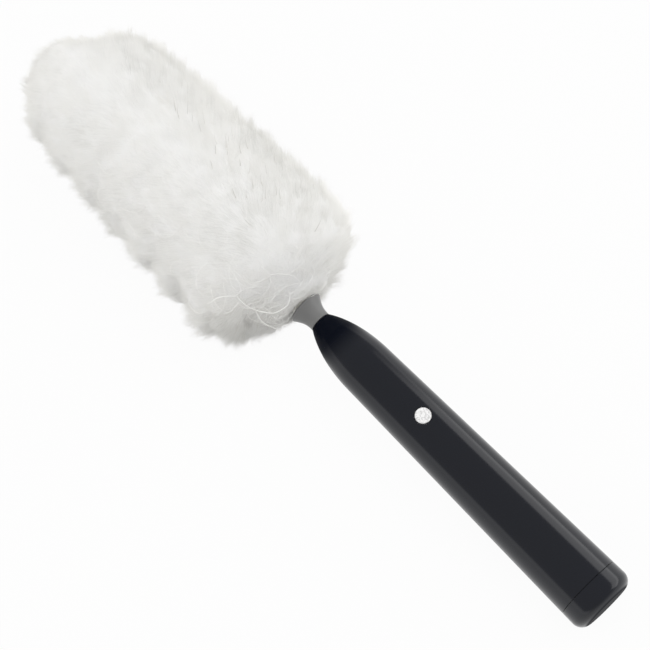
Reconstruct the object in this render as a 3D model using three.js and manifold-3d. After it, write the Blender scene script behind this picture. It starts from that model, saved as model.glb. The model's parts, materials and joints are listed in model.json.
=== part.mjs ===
// Electric spin duster: a handle with dry cells and a geared motor turns a fluffy, washable head.
// Sizes are in millimetres. In the tool's own frame x runs from the flat base to the head's tip,
// z points out through the push button and y completes the right-handed set.
import * as THREE from 'three';
import { mergeVertices } from 'three/addons/utils/BufferGeometryUtils.js';
import Module from 'manifold-3d';

const wasm = await Module();
wasm.setup();

// Clearances
const FIT = 0.3; // between pieces that rest on one another
const RUNNING_FIT = 0.06; // radial, between a turning shaft and its bush
const PIN_FIT = 0.08; // radial, between a planet gear and its pin
const REACH = 60; // how far a cutting block runs past what it cuts

// Handle outline
const HANDLE_LENGTH = 220.5;
const BASE_RADIUS = 19.35;
const EDGE_RADIUS = 6.5; // rounding of the base's edge
const NOSE_LENGTH = 37.5; // from the shoulder to the nose
const SHOULDER_RADIUS = 15.85;
const NOSE_RADIUS = 6.5;
const NOSE_LEAD = 16; // length of the outline's tangent at the shoulder
const NOSE_TAIL = 8; // and at the nose
const NOSE_SLOPE = 0.62; // fall of the outline at the nose
const SHOULDER_SLOPE = 0.0125;
const WALL = 1.8;
const SEAM_GAP = 0.3; // between the two shells, and between them and the cap

// End cap
const CAP_LENGTH = 14;
const CAP_FLOOR = 3;
const SPIGOT_LENGTH = 6;
const SPIGOT_WALL = 1.4;
const KEY_WIDTH = 4;
const KEY_HEIGHT = 0.85;

// Cells and their tray
const CELL_RADIUS = 7.25;
const CELL_LENGTH = 50.5;
const CELL_NUB_LENGTH = 1.3;
const CELL_NUB_RADIUS = 2.75;
const CELL_SPACING = 15.5; // between the two columns of cells
const CELL_PLAY = 0.2;
const CONTACT_THICKNESS = 0.5;
const CONTACT_RADIUS = 5;
const SPRING_LENGTH = 7;
const SPRING_RADIUS = 3.6;
const SPRING_WIRE = 0.4;
const SPRING_TURNS = 4;
const TRAY_WALL = 2;
const TRAY_WIDTH = 26;
const TAB_WIDTH = 2.4;
const TAB_OFFSET = 4.2; // of a contact's tab from the tool's axis
const TAB_LENGTH = 3; // past the tray's end wall

// Push button, switch and board
const BUTTON_X = 139.4;
const BUTTON_RADIUS = 4.5;
const BUTTON_GAP = 0.4;
const BUTTON_RISE = 0.4; // of the button's top above the handle's highest line
const BUTTON_FLANGE_RADIUS = 6.2;
const BUTTON_FLANGE = 1.2;
const BUTTON_TRAVEL = 1.5;
const BUTTON_ROUND = 0.35; // softened edge of its top
const PLUNGER_RADIUS = 1.7;
const SWITCH_SIZE = 8;
const SWITCH_HEIGHT = 5.3;
const BOARD_LENGTH = 25.5;
const BOARD_WIDTH = 19;
const BOARD_Z = 2.4;
const BOARD_THICKNESS = 1.2;
const BOARD_SCREW_X = 9.6; // of each board screw from the button's line
const BOARD_SCREW_Y = 7;
const BOARD_BOSS_RADIUS = 2.4;

// Screws
const SCREW_RADIUS = 1.1;
const SCREW_HEAD_RADIUS = 2.1;
const SCREW_HEAD = 1.6;
const SCREW_SEAT = 5.5; // depth of the shell screws' seats under the handle's middle plane
const SCREW_REACH = 7.5; // of the shell screws past that plane
const SCREW_BOSS_RADIUS = 3.3;
const SCREW_Y = 11.3;
const REAR_SCREW_X = 122.5;
const FRONT_SCREW_X = 169.5;
const RIB = 1.6;
const STOP_RIB_RADIUS = 10.5; // opening of the rib that stops the tray

// Motor
const MOTOR_X = 157;
const MOTOR_LENGTH = 25;
const MOTOR_RADIUS = 10.05;
const MOTOR_WIDTH = 15.1; // across its two flats
const MOTOR_WALL = 0.7;
const MOTOR_CAP = 1.9;
const MOTOR_BOSS_RADIUS = 3;
const MOTOR_BOSS = 1.5;
const MOTOR_SHAFT_RADIUS = 1;
const MOTOR_SHAFT_TAIL = 2.5; // of the shaft behind the can
const MAGNET_INNER = 6.9;
const ARMATURE_RADIUS = 6.3;
const ARMATURE_LENGTH = 12;
const ARMATURE_SLOT = 1.6;
const POLES = 3;
const TERMINAL_LENGTH = 3.2;
const MOTOR_RIB_INSET = 4; // of each cradle rib from the can's ends

// Planetary gears: the sun drives the planets round inside a fixed ring
const GEAR_MODULE = 0.4;
const SUN_TEETH = 12;
const PLANET_TEETH = 15;
const RING_TEETH = SUN_TEETH + 2 * PLANET_TEETH;
const PLANETS = 3;
const ADDENDUM = 0.8 * GEAR_MODULE;
const DEDENDUM = 1.1 * GEAR_MODULE;
const BACKLASH = 0.06; // taken off each tooth
const PRESSURE_ANGLE = THREE.MathUtils.degToRad(20);
const GEAR_FACE = 4;
const PIN_RADIUS = 0.9;
const PLATE = 1.5;
const GEARBOX_RADIUS = 10.4;
const GEARBOX_DEPTH = 8.9;
const GEARBOX_FRONT = 1.5;
const EAR_RADIUS = 2;
const EAR_Y = 11;
const EAR_LENGTH = 6;
const EAR_SCREW_RADIUS = 0.8;
const EAR_SCREW_HEAD_RADIUS = 1.5;
const EAR_SCREW_HEAD = 1;
const CARRIER_RADIUS = 7.6;
const CARRIER = 2.3;

// Drive shaft and its bushes
const SHAFT_RADIUS = 2.5;
const SHAFT_FLAT = 1.7; // height of the driving flat above the axis
const SHAFT_GROOVE = 0.6;
const REAR_BUSH_RADIUS = 4.2;
const REAR_BUSH = 2.5;
const CLIP_RADIUS = 4.2;
const CLIP = 0.6;
const CLIP_MOUTH = 3;
const NOSE_WALL = 12.5; // length of the solid nose round its bush
const FRONT_BUSH_RADIUS = 5;
const FRONT_BUSH = 8.3;
const BUSH_FLANGE_RADIUS = 6.4;
const BUSH_FLANGE = 0.8;

// Neck collar
const COLLAR_SPIGOT = 3.9; // inside the nose
const COLLAR_SPIN_GAP = 0.4; // all round the collar's spigot
const COLLAR_LENGTH = 13.4; // seen in front of the nose
const COLLAR_NECK_RADIUS = 6.4;
const COLLAR_LIP_RADIUS = 10.3;
const LIP_ROUND = 1.1;
const COLLAR_DRIVE = 9.5; // length of the bore with the flat
const FLARE_START = 0.45; // where the flare leaves the neck, as a share of the collar
const FLARE_TURN = 0.62; // where it turns out to the lip

// Head
const SPINE_RADIUS = 4;
const SPINE_INSET = 29.5; // of the spine's end behind the fluff's tip
const SHAFT_INSET = 20; // of the drive shaft inside the spine
const SLEEVE_RADIUS = 7;
const TIP_RADIUS = 5.5;
const TIP_LENGTH = 7;
const FLUFF_END = 453.5;
const FLUFF_REAR_RADIUS = 53.2;
const FLUFF_FRONT_RADIUS = 41;
const FLUFF_REAR_ROUND = 32;
const FLUFF_FRONT_ROUND = 44;
const FLUFF_FULLNESS = 2.3; // exponent of the rounded ends: 2 gives an ellipse
const FLUFF_PILE = 4; // thickness of the soft solid
const FLUFF_SINK = 6; // by which the head's own weight flattens it on the floor
const FLUFF_REST = 55.5; // of the place where it lies on the floor, from its rear end

const WIRE_RADIUS = 0.55;
const SMALL_ROUND = 12; // sides of pins and screws
const ROUND = 20; // sides of cells, motor and gearbox pieces
const BODY_ROUND = 32; // sides of the handle
const FLUFF_ROUND = 24; // sides of the fluff and collar

// Sizes that follow from the ones above
const SHOULDER_X = HANDLE_LENGTH - NOSE_LENGTH;
const TAPER = (BASE_RADIUS - SHOULDER_RADIUS) / (SHOULDER_X - EDGE_RADIUS);
const FACE_RADIUS = BASE_RADIUS - EDGE_RADIUS; // of the flat base
const SHELL_X = CAP_LENGTH + SEAM_GAP;
const SPIGOT_END = CAP_LENGTH + SPIGOT_LENGTH;
const SPIGOT_RADIUS = handleRadius(SPIGOT_END) - WALL - FIT;
const CELL_Y = CELL_SPACING / 2;
const BRIDGE_X = CAP_FLOOR + FIT;
const FIRST_CELL_X = BRIDGE_X + CONTACT_THICKNESS + FIT; // column whose nubs face the cap
const SPRUNG_CELL_X = FIRST_CELL_X + SPRING_LENGTH + FIT; // column that the cap's spring presses
const CELL_STEP = CELL_LENGTH + FIT;
const CELLS_END = SPRUNG_CELL_X + CELL_STEP + CELL_LENGTH;
const CONTACT_X = CELLS_END + FIT;
const TRAY_WALL_X = CONTACT_X + CONTACT_THICKNESS + FIT;
const TRAY_END = TRAY_WALL_X + TRAY_WALL;
const TRAY_RADIUS = handleRadius(TRAY_END) - WALL - FIT;
const STOP_RIB_X = TRAY_END + FIT;
const TAB_END = TRAY_END + TAB_LENGTH;
const BUTTON_TOP = handleRadius(BUTTON_X) + BUTTON_RISE;
const FLANGE_TOP = Math.sqrt((handleRadius(BUTTON_X) - WALL) ** 2 - BUTTON_FLANGE_RADIUS ** 2) - FIT;
const FLANGE_Z = FLANGE_TOP - BUTTON_FLANGE;
const BOARD_TOP = BOARD_Z + BOARD_THICKNESS;
const SWITCH_Z = BOARD_TOP + FIT;
const SWITCH_TOP = SWITCH_Z + SWITCH_HEIGHT;
const WELL_Z = SWITCH_Z + BUTTON_TRAVEL;
const PLUNGER_Z = WELL_Z + BUTTON_TRAVEL + FIT;
const MOTOR_END = MOTOR_X + MOTOR_LENGTH;
const MOTOR_REAR = MOTOR_X - MOTOR_CAP;
const PLATE_X = MOTOR_END + FIT;
const HOUSING_X = PLATE_X + PLATE + FIT;
const GEAR_X = HOUSING_X + 2 * FIT;
const GEAR_END = GEAR_X + GEAR_FACE;
const CARRIER_X = GEAR_END + 2 * FIT;
const CARRIER_END = CARRIER_X + CARRIER;
const HOUSING_WALL_X = HOUSING_X + GEARBOX_DEPTH;
const HOUSING_END = HOUSING_WALL_X + GEARBOX_FRONT;
const ORBIT = GEAR_MODULE * (SUN_TEETH + PLANET_TEETH) / 2;
const RING_BORE = GEAR_MODULE * RING_TEETH / 2 + DEDENDUM;
const SHAFT_X = GEAR_END + FIT;
const BUSH_BORE = SHAFT_RADIUS + RUNNING_FIT;
const REAR_BUSH_X = HOUSING_WALL_X - FIT;
const CLIP_X = REAR_BUSH_X + REAR_BUSH + 2 * FIT;
const NOSE_BORE = FRONT_BUSH_RADIUS + FIT;
const NOSE_WALL_X = HANDLE_LENGTH - NOSE_WALL;
const BUSH_X = NOSE_WALL_X - FIT;
const COLLAR_X = HANDLE_LENGTH - COLLAR_SPIGOT;
const COLLAR_FACE_X = HANDLE_LENGTH + COLLAR_SPIN_GAP;
const COLLAR_END = HANDLE_LENGTH + COLLAR_LENGTH;
const SPINE_X = COLLAR_X + COLLAR_DRIVE + FIT;
const SHAFT_END = SPINE_X + SHAFT_INSET;
const SLEEVE_X = COLLAR_END + FIT;
const SPINE_END = FLUFF_END - SPINE_INSET;
const TIP_X = SPINE_END + FIT;
const TIP_END = TIP_X + TIP_LENGTH;
const FLUFF_X = SLEEVE_X + FIT;
const FLUFF_REST_X = FLUFF_X + FLUFF_REST;

// Lying at rest, the tool stands on its base's rounded edge and on the flattened fluff
const REST_RUN = FLUFF_REST_X - EDGE_RADIUS;
const REST_RISE = fluffRadius(FLUFF_REST_X) - FLUFF_SINK - FACE_RADIUS;
const REST_TILT = Math.atan2(REST_RISE, REST_RUN)
  - Math.asin(EDGE_RADIUS / Math.hypot(REST_RUN, REST_RISE));
const AXIS_HEIGHT = EDGE_RADIUS + FACE_RADIUS * Math.cos(REST_TILT) - EDGE_RADIUS * Math.sin(REST_TILT);

const FINISHES = {
  blackGloss: { color: 0x0d0e11, roughness: 0.22, metalness: 0 },
  whiteGloss: { color: 0xe9e8e8, roughness: 0.3, metalness: 0 },
  greySatin: { color: 0x77777a, roughness: 0.4, metalness: 0.1 },
  fluff: { color: 0xecebe7, roughness: 0.9, metalness: 0 },
  webbing: { color: 0xd8d6d2, roughness: 0.9, metalness: 0 },
  spine: { color: 0xc9c9c9, roughness: 0.55, metalness: 0 },
  darkPlastic: { color: 0x24262a, roughness: 0.6, metalness: 0 },
  whitePlastic: { color: 0xdededa, roughness: 0.5, metalness: 0 },
  cell: { color: 0x8a8d90, roughness: 0.35, metalness: 0.8 },
  steel: { color: 0xb4b6b8, roughness: 0.35, metalness: 0.9 },
  brass: { color: 0xb9944c, roughness: 0.35, metalness: 0.9 },
  iron: { color: 0x55514d, roughness: 0.6, metalness: 0.6 },
  board: { color: 0x1d5a35, roughness: 0.5, metalness: 0 },
  redWire: { color: 0xa01818, roughness: 0.5, metalness: 0 },
  blackWire: { color: 0x161616, roughness: 0.5, metalness: 0 },
};

/** Outside radius of the handle on the base's rounding and on the straight side. */
function handleRadius(x) {
  if (x < EDGE_RADIUS) {
    return FACE_RADIUS + Math.sqrt(EDGE_RADIUS ** 2 - (EDGE_RADIUS - x) ** 2);
  }
  return BASE_RADIUS - TAPER * (x - EDGE_RADIUS);
}

/** Outside radius of the fluff: a body that thins towards its tip, rounded off at both ends. */
function fluffRadius(x) {
  const along = (x - FLUFF_X) / (FLUFF_END - FLUFF_X);
  const body = FLUFF_REAR_RADIUS - (FLUFF_REAR_RADIUS - FLUFF_FRONT_RADIUS) * along ** 2;
  const rounded = (distance, length) => {
    const short = Math.max(0, 1 - distance / length);
    return (1 - short ** FLUFF_FULLNESS) ** (1 / FLUFF_FULLNESS);
  };
  return body * rounded(x - FLUFF_X, FLUFF_REAR_ROUND) * rounded(FLUFF_END - x, FLUFF_FRONT_ROUND);
}

/** Points [x, radius] of the nose outline, from the shoulder to the nose. */
function nosePoints(steps) {
  const curve = new THREE.CubicBezierCurve(
    new THREE.Vector2(SHOULDER_X, SHOULDER_RADIUS),
    new THREE.Vector2(SHOULDER_X + NOSE_LEAD, SHOULDER_RADIUS - NOSE_LEAD * SHOULDER_SLOPE),
    new THREE.Vector2(HANDLE_LENGTH - NOSE_TAIL, NOSE_RADIUS + NOSE_TAIL * NOSE_SLOPE),
    new THREE.Vector2(HANDLE_LENGTH, NOSE_RADIUS),
  );
  return curve.getPoints(steps).map((point) => [point.x, point.y]);
}

/** Points [x, radius] on an arc about (x, radius), between two angles from the x direction. */
function arcPoints(x, radius, round, from, to, steps) {
  const points = [];
  for (let i = 0; i <= steps; i += 1) {
    const angle = from + (to - from) * i / steps;
    points.push([x + round * Math.cos(angle), radius + round * Math.sin(angle)]);
  }
  return points;
}

/** Six times the volume inside a triangle mesh: negative when its triangles face inwards. */
function signedVolume(positions, triangles) {
  const corners = [new THREE.Vector3(), new THREE.Vector3(), new THREE.Vector3()];
  let total = 0;
  for (let i = 0; i < triangles.length; i += 3) {
    corners.forEach((corner, k) => corner.fromArray(positions, 3 * triangles[i + k]));
    total += corners[0].dot(corners[1].cross(corners[2]));
  }
  return total;
}

/** Closed solid made from a geometry, with its triangles facing outwards. */
function solidFrom(geometry) {
  geometry.deleteAttribute('normal');
  geometry.deleteAttribute('uv');
  const merged = mergeVertices(geometry, 1e-4);
  const index = merged.getIndex().array;
  const triangles = [];
  for (let i = 0; i < index.length; i += 3) {
    const corners = [index[i], index[i + 1], index[i + 2]];
    if (new Set(corners).size === 3) {
      triangles.push(...corners);
    }
  }
  const vertProperties = new Float32Array(merged.getAttribute('position').array);
  if (signedVolume(vertProperties, triangles) < 0) {
    triangles.reverse();
  }
  const triVerts = new Uint32Array(triangles);
  return new wasm.Manifold(new wasm.Mesh({ numProp: 3, vertProperties, triVerts }));
}

/** Solid of revolution about the x direction through (y, z), from points [x, radius]. */
function lathe(profile, sides, y = 0, z = 0) {
  const points = profile.map(([along, radius]) => new THREE.Vector2(radius, along));
  return solidFrom(new THREE.LatheGeometry(points, sides).rotateZ(-Math.PI / 2).translate(0, y, z));
}

/** Solid of revolution about the z direction through (x, y), from points [z, radius]. */
function latheUp(profile, sides, x, y) {
  const points = profile.map(([along, radius]) => new THREE.Vector2(radius, along));
  return solidFrom(new THREE.LatheGeometry(points, sides).rotateX(Math.PI / 2).translate(x, y, 0));
}

function rodProfile(from, to, radius) {
  return [[from, 0], [from, radius], [to, radius], [to, 0]];
}

function tubeProfile(from, to, inner, outer) {
  return [[from, inner], [from, outer], [to, outer], [to, inner], [from, inner]];
}

/** Round rod along x. */
function rod(from, to, radius, sides, y = 0, z = 0) {
  return lathe(rodProfile(from, to, radius), sides, y, z);
}

/** Round tube along x. */
function tube(from, to, inner, outer, sides, y = 0, z = 0) {
  return lathe(tubeProfile(from, to, inner, outer), sides, y, z);
}

/** Round post along z. */
function post(x, y, from, to, radius) {
  return latheUp(rodProfile(from, to, radius), SMALL_ROUND, x, y);
}

/** Block with its faces across the axes, turned about x by an angle. */
function block(x0, x1, y0, y1, z0, z1, turn = 0) {
  const box = new THREE.BoxGeometry(x1 - x0, y1 - y0, z1 - z0);
  box.translate((x0 + x1) / 2, (y0 + y1) / 2, (z0 + z1) / 2).rotateX(turn);
  return solidFrom(box);
}

/** Prism along x with an outline given in the y-z plane. */
function prism(outline, from, to) {
  const shape = new THREE.Shape(outline);
  const geometry = new THREE.ExtrudeGeometry(shape, { depth: to - from, bevelEnabled: false });
  const turned = new THREE.Matrix4().makeBasis(
    new THREE.Vector3(0, 1, 0),
    new THREE.Vector3(0, 0, 1),
    new THREE.Vector3(1, 0, 0),
  );
  return solidFrom(geometry.applyMatrix4(turned).translate(from, 0, 0));
}

/** Round cord of one radius along a curve. */
function cord(curve, radius, sides, steps) {
  const section = new THREE.Shape();
  for (let i = 0; i < sides; i += 1) {
    const angle = 2 * Math.PI * i / sides;
    const corner = [radius * Math.cos(angle), radius * Math.sin(angle)];
    if (i === 0) {
      section.moveTo(...corner);
    } else {
      section.lineTo(...corner);
    }
  }
  return solidFrom(new THREE.ExtrudeGeometry(section, { steps, extrudePath: curve }));
}

/** Wire through a list of points. */
function wire(points) {
  const curve = new THREE.CatmullRomCurve3(points.map((point) => new THREE.Vector3(...point)));
  return cord(curve, WIRE_RADIUS, 6, 12);
}

/** Helix along x, by whole turns. */
class Helix extends THREE.Curve {
  constructor(from, to, radius, turns, y) {
    super();
    Object.assign(this, { from, to, radius, turns, y });
  }

  getPoint(t, target = new THREE.Vector3()) {
    const angle = 2 * Math.PI * this.turns * t;
    const x = this.from + (this.to - this.from) * t;
    return target.set(x, this.y + this.radius * Math.cos(angle), this.radius * Math.sin(angle));
  }
}

/** Coil spring that fills the space from one x to another. */
function coil(from, to, y) {
  const inset = SPRING_WIRE + FIT;
  const helix = new Helix(from + inset, to - inset, SPRING_RADIUS, SPRING_TURNS, y);
  return cord(helix, SPRING_WIRE, 5, 8 * SPRING_TURNS);
}

/** Gear outline with involute flanks, four points a tooth, the first tooth centred on +y. */
function gearOutline(teeth, addendum, dedendum, thinning) {
  const pitch = GEAR_MODULE * teeth / 2;
  const base = pitch * Math.cos(PRESSURE_ANGLE);
  const involute = (angle) => Math.tan(angle) - angle;
  const halfAtPitch = (Math.PI * GEAR_MODULE / 2 - thinning) / (2 * pitch);
  const flank = [pitch - dedendum, pitch + addendum].map((radius) => {
    const pressure = Math.acos(Math.min(1, base / radius));
    return [radius, halfAtPitch + involute(PRESSURE_ANGLE) - involute(pressure)];
  });
  const rising = flank.map(([radius, half]) => [radius, -half]);
  const tooth = [...rising, ...flank.reverse()];
  const outline = [];
  for (let k = 0; k < teeth; k += 1) {
    const centre = 2 * Math.PI * k / teeth;
    tooth.forEach(([radius, turn]) => {
      const angle = centre + turn;
      outline.push(new THREE.Vector2(radius * Math.cos(angle), radius * Math.sin(angle)));
    });
  }
  return outline;
}

/** Motor's round outline with two flats, grown by a margin, from one x to another. */
function motorForm(from, to, grow) {
  const half = MOTOR_WIDTH / 2 + grow;
  const round = rod(from, to, MOTOR_RADIUS + grow, ROUND);
  return round.intersect(block(from, to, -half, half, -REACH, REACH));
}

function addAll(solids) {
  return solids.reduce((sum, next) => sum.add(next));
}

function subtractAll(solid, cuts) {
  return cuts.reduce((rest, next) => rest.subtract(next), solid);
}

/** Named mesh of a solid. */
function piece(name, solid, finish) {
  const { vertProperties, triVerts } = solid.getMesh();
  const geometry = new THREE.BufferGeometry();
  geometry.setAttribute('position', new THREE.BufferAttribute(vertProperties, 3));
  geometry.setIndex(new THREE.BufferAttribute(triVerts, 1));
  geometry.computeVertexNormals();
  const mesh = new THREE.Mesh(geometry, new THREE.MeshStandardMaterial(FINISHES[finish]));
  mesh.name = name;
  return mesh;
}

/** The same piece again under another name, moved along. */
function again(mesh, name, x, y, z) {
  const copy = new THREE.Mesh(mesh.geometry, mesh.material.clone());
  copy.name = name;
  copy.position.set(x, y, z);
  return copy;
}

/** Group of pieces that move as one. */
function bodyOf(name, pieces) {
  const group = new THREE.Group();
  group.name = name;
  group.add(...pieces);
  return group;
}

/** Screw along z, its head down, with the head's upper face at z = 0. */
function screwUp(shank, radius, headRadius, head) {
  return latheUp([
    [-head, 0], [-head, headRadius], [0, headRadius], [0, radius], [shank, radius], [shank, 0],
  ], SMALL_ROUND, 0, 0);
}

/** The two handle shells, split along the tool's middle plane. */
function handleShells() {
  const nose = nosePoints(7);
  const inside = nose.filter(([x]) => x < NOSE_WALL_X).map(([x, radius]) => [x, radius - WALL]);
  const wallEnd = inside[inside.length - 1][1];
  const wall = lathe([
    [SHELL_X, handleRadius(SHELL_X)],
    ...nose,
    [HANDLE_LENGTH, NOSE_BORE],
    [NOSE_WALL_X, NOSE_BORE],
    [NOSE_WALL_X, wallEnd],
    ...inside.reverse(),
    [SHELL_X, handleRadius(SHELL_X) - WALL],
    [SHELL_X, handleRadius(SHELL_X)],
  ], BODY_ROUND);
  const filled = lathe([
    [SHELL_X, 0], [SHELL_X, handleRadius(SHELL_X) - WALL / 2],
    ...nose.map(([x, radius]) => [x, radius - WALL / 2]), [HANDLE_LENGTH, 0],
  ], BODY_ROUND);

  const disc = (x) => rod(x, x + RIB, REACH, ROUND);
  const stopRib = disc(STOP_RIB_X).subtract(rod(0, HANDLE_LENGTH, STOP_RIB_RADIUS, ROUND));
  const cradles = [MOTOR_X + MOTOR_RIB_INSET, MOTOR_END - MOTOR_RIB_INSET - RIB].map(
    (x) => disc(x).subtract(motorForm(0, HANDLE_LENGTH, FIT)),
  );
  const ribs = addAll([stopRib, ...cradles]);
  const places = [REAR_SCREW_X, FRONT_SCREW_X].flatMap((x) => [[x, SCREW_Y], [x, -SCREW_Y]]);
  const boardPlaces = [[-BOARD_SCREW_X, BOARD_SCREW_Y], [BOARD_SCREW_X, -BOARD_SCREW_Y]];
  const keyHalf = KEY_WIDTH / 2 + FIT;
  const keyDepth = SPIGOT_RADIUS + KEY_HEIGHT + FIT;
  const keyway = block(0, SPIGOT_END + FIT, -keyHalf, keyHalf, -keyDepth, keyDepth);

  const bosses = places.map(([x, y]) => post(x, y, -REACH, REACH, SCREW_BOSS_RADIUS));
  const shankHoles = places.map(([x, y]) => post(x, y, -REACH, SCREW_REACH + FIT, SCREW_RADIUS + FIT));
  const headWells = places.map(
    ([x, y]) => post(x, y, -REACH, -SCREW_SEAT, SCREW_HEAD_RADIUS + FIT),
  );
  const boardBosses = boardPlaces.map(
    ([dx, y]) => post(BUTTON_X + dx, y, BOARD_TOP + FIT, REACH, BOARD_BOSS_RADIUS),
  );
  const boardHoles = boardPlaces.map(
    ([dx, y]) => post(BUTTON_X + dx, y, 0, SCREW_REACH + BOARD_Z, SCREW_RADIUS + FIT),
  );
  const buttonHole = post(BUTTON_X, 0, 0, REACH, BUTTON_RADIUS + BUTTON_GAP);

  const upper = block(-REACH, HANDLE_LENGTH + REACH, -REACH, REACH, SEAM_GAP / 2, REACH);
  const lower = block(-REACH, HANDLE_LENGTH + REACH, -REACH, REACH, -REACH, -SEAM_GAP / 2);
  const frontFittings = addAll([ribs, ...bosses, ...boardBosses]).intersect(filled);
  const rearFittings = addAll([ribs, ...bosses]).intersect(filled);
  const front = subtractAll(
    wall.add(frontFittings).intersect(upper),
    [keyway, buttonHole, ...shankHoles, ...boardHoles],
  );
  const rear = subtractAll(
    wall.add(rearFittings).intersect(lower),
    [keyway, ...shankHoles, ...headWells],
  );
  const screw = piece(
    'shell_screw_1',
    screwUp(SCREW_SEAT + SCREW_REACH, SCREW_RADIUS, SCREW_HEAD_RADIUS, SCREW_HEAD),
    'steel',
  );
  const screws = places.map(
    ([x, y], i) => again(screw, `shell_screw_${i + 1}`, x, y, -SCREW_SEAT - FIT),
  );
  return [
    piece('handle_front_shell', front, 'blackGloss'),
    piece('handle_rear_shell', rear, 'blackGloss'),
    ...screws,
  ];
}

/** Flat metal tab along x, centred on a y. */
function tab(from, to, y) {
  const half = TAB_WIDTH / 2;
  const thin = CONTACT_THICKNESS / 2;
  return block(from, to, y - half, y + half, -thin, thin);
}

/** Four cells in two columns, in a tray that slides in from the base. */
function cellsAndTray() {
  const trayHalf = TRAY_WIDTH / 2;
  const bores = [CELL_Y, -CELL_Y].map(
    (y) => rod(0, TRAY_WALL_X, CELL_RADIUS + CELL_PLAY, ROUND, y),
  );
  const slots = [TAB_OFFSET, -TAB_OFFSET].map((y) => {
    const half = TAB_WIDTH / 2 + FIT;
    const thin = CONTACT_THICKNESS / 2 + FIT;
    return block(TRAY_WALL_X - FIT, TRAY_END + FIT, y - half, y + half, -thin, thin);
  });
  const trayBody = rod(SPIGOT_END + FIT, TRAY_END, TRAY_RADIUS, ROUND)
    .intersect(block(0, HANDLE_LENGTH, -trayHalf, trayHalf, -REACH, REACH));
  const tray = subtractAll(trayBody, [...bores, ...slots]);

  const body = CELL_LENGTH - CELL_NUB_LENGTH;
  const cell = lathe([
    [0, 0], [0, CELL_RADIUS], [body, CELL_RADIUS], [body, CELL_NUB_RADIUS],
    [CELL_LENGTH, CELL_NUB_RADIUS], [CELL_LENGTH, 0],
  ], ROUND);
  const pattern = piece('cell', cell, 'cell');
  const cells = [0, 1].map(
    (k) => again(pattern, `battery_cell_${k + 1}`, SPRUNG_CELL_X + k * CELL_STEP, CELL_Y, 0),
  );
  [0, 1].forEach((k) => {
    const x = FIRST_CELL_X + k * CELL_STEP + CELL_LENGTH;
    const turned = again(pattern, `battery_cell_${k + 3}`, x, -CELL_Y, 0);
    turned.rotation.z = Math.PI;
    cells.push(turned);
  });

  const contactEnd = CONTACT_X + CONTACT_THICKNESS;
  const contact = (side) => {
    const plate = rod(CONTACT_X, contactEnd, CONTACT_RADIUS, SMALL_ROUND, side * CELL_Y);
    return plate.add(tab(CONTACT_X, TAB_END, side * TAB_OFFSET));
  };
  const springStart = FIRST_CELL_X + CELL_STEP + CELL_LENGTH;
  return [
    piece('battery_tray', tray, 'darkPlastic'),
    ...cells,
    piece('positive_contact', contact(1), 'steel'),
    piece('negative_contact', contact(-1), 'steel'),
    piece('negative_spring', coil(springStart, CONTACT_X, -CELL_Y), 'steel'),
  ];
}

/** Board with the switch that the button presses. */
function switchAndBoard() {
  const rear = BUTTON_X - BOARD_LENGTH / 2;
  const half = BOARD_WIDTH / 2;
  const places = [[-BOARD_SCREW_X, BOARD_SCREW_Y], [BOARD_SCREW_X, -BOARD_SCREW_Y]];
  const holes = places.map(
    ([dx, y]) => post(BUTTON_X + dx, y, 0, REACH, SCREW_RADIUS + FIT),
  );
  const board = subtractAll(
    block(rear, rear + BOARD_LENGTH, -half, half, BOARD_Z, BOARD_TOP),
    holes,
  );
  const side = SWITCH_SIZE / 2;
  const body = block(BUTTON_X - side, BUTTON_X + side, -side, side, SWITCH_Z, SWITCH_TOP)
    .subtract(post(BUTTON_X, 0, WELL_Z, REACH, PLUNGER_RADIUS + FIT));
  const screw = piece(
    'screw',
    screwUp(SCREW_REACH - FIT, SCREW_RADIUS, SCREW_HEAD_RADIUS, SCREW_HEAD),
    'steel',
  );
  return [
    piece('switch_board', board, 'board'),
    piece('switch_body', body, 'darkPlastic'),
    ...places.map(
      ([dx, y], i) => again(screw, `board_screw_${i + 1}`, BUTTON_X + dx, y, BOARD_Z - FIT),
    ),
  ];
}

/** Fixed pieces of the motor. */
function motorStator() {
  const bore = rod(0, HANDLE_LENGTH, MOTOR_SHAFT_RADIUS + RUNNING_FIT, SMALL_ROUND);
  const boss = rod(MOTOR_END - MOTOR_WALL, MOTOR_END + MOTOR_BOSS, MOTOR_BOSS_RADIUS, ROUND);
  const can = subtractAll(
    motorForm(MOTOR_X, MOTOR_END, 0).add(boss),
    [motorForm(0, MOTOR_END - MOTOR_WALL, -MOTOR_WALL), bore],
  );
  const cap = motorForm(MOTOR_REAR, MOTOR_X - FIT, 0).subtract(bore);
  const magnetOuter = MOTOR_RADIUS - MOTOR_WALL - FIT;
  const magnetHalf = MOTOR_WIDTH / 2 - MOTOR_WALL - FIT;
  const magnetX = MOTOR_X + (MOTOR_LENGTH - ARMATURE_LENGTH) / 2;
  const magnetRing = tube(magnetX, magnetX + ARMATURE_LENGTH, MAGNET_INNER, magnetOuter, ROUND);
  const magnet = (side) => magnetRing.intersect(block(
    0, HANDLE_LENGTH, -magnetHalf, magnetHalf,
    Math.min(side * MAGNET_INNER / 2, side * REACH), Math.max(side * MAGNET_INNER / 2, side * REACH),
  ));
  const terminalX = MOTOR_REAR - FIT - TERMINAL_LENGTH;
  const terminal = (side) => tab(terminalX, MOTOR_REAR - FIT, side * TAB_OFFSET);
  return [
    piece('motor_can', can, 'steel'),
    piece('motor_end_cap', cap, 'whitePlastic'),
    piece('motor_magnet_1', magnet(1), 'iron'),
    piece('motor_magnet_2', magnet(-1), 'iron'),
    piece('motor_terminal_1', terminal(1), 'brass'),
    piece('motor_terminal_2', terminal(-1), 'brass'),
  ];
}

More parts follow.
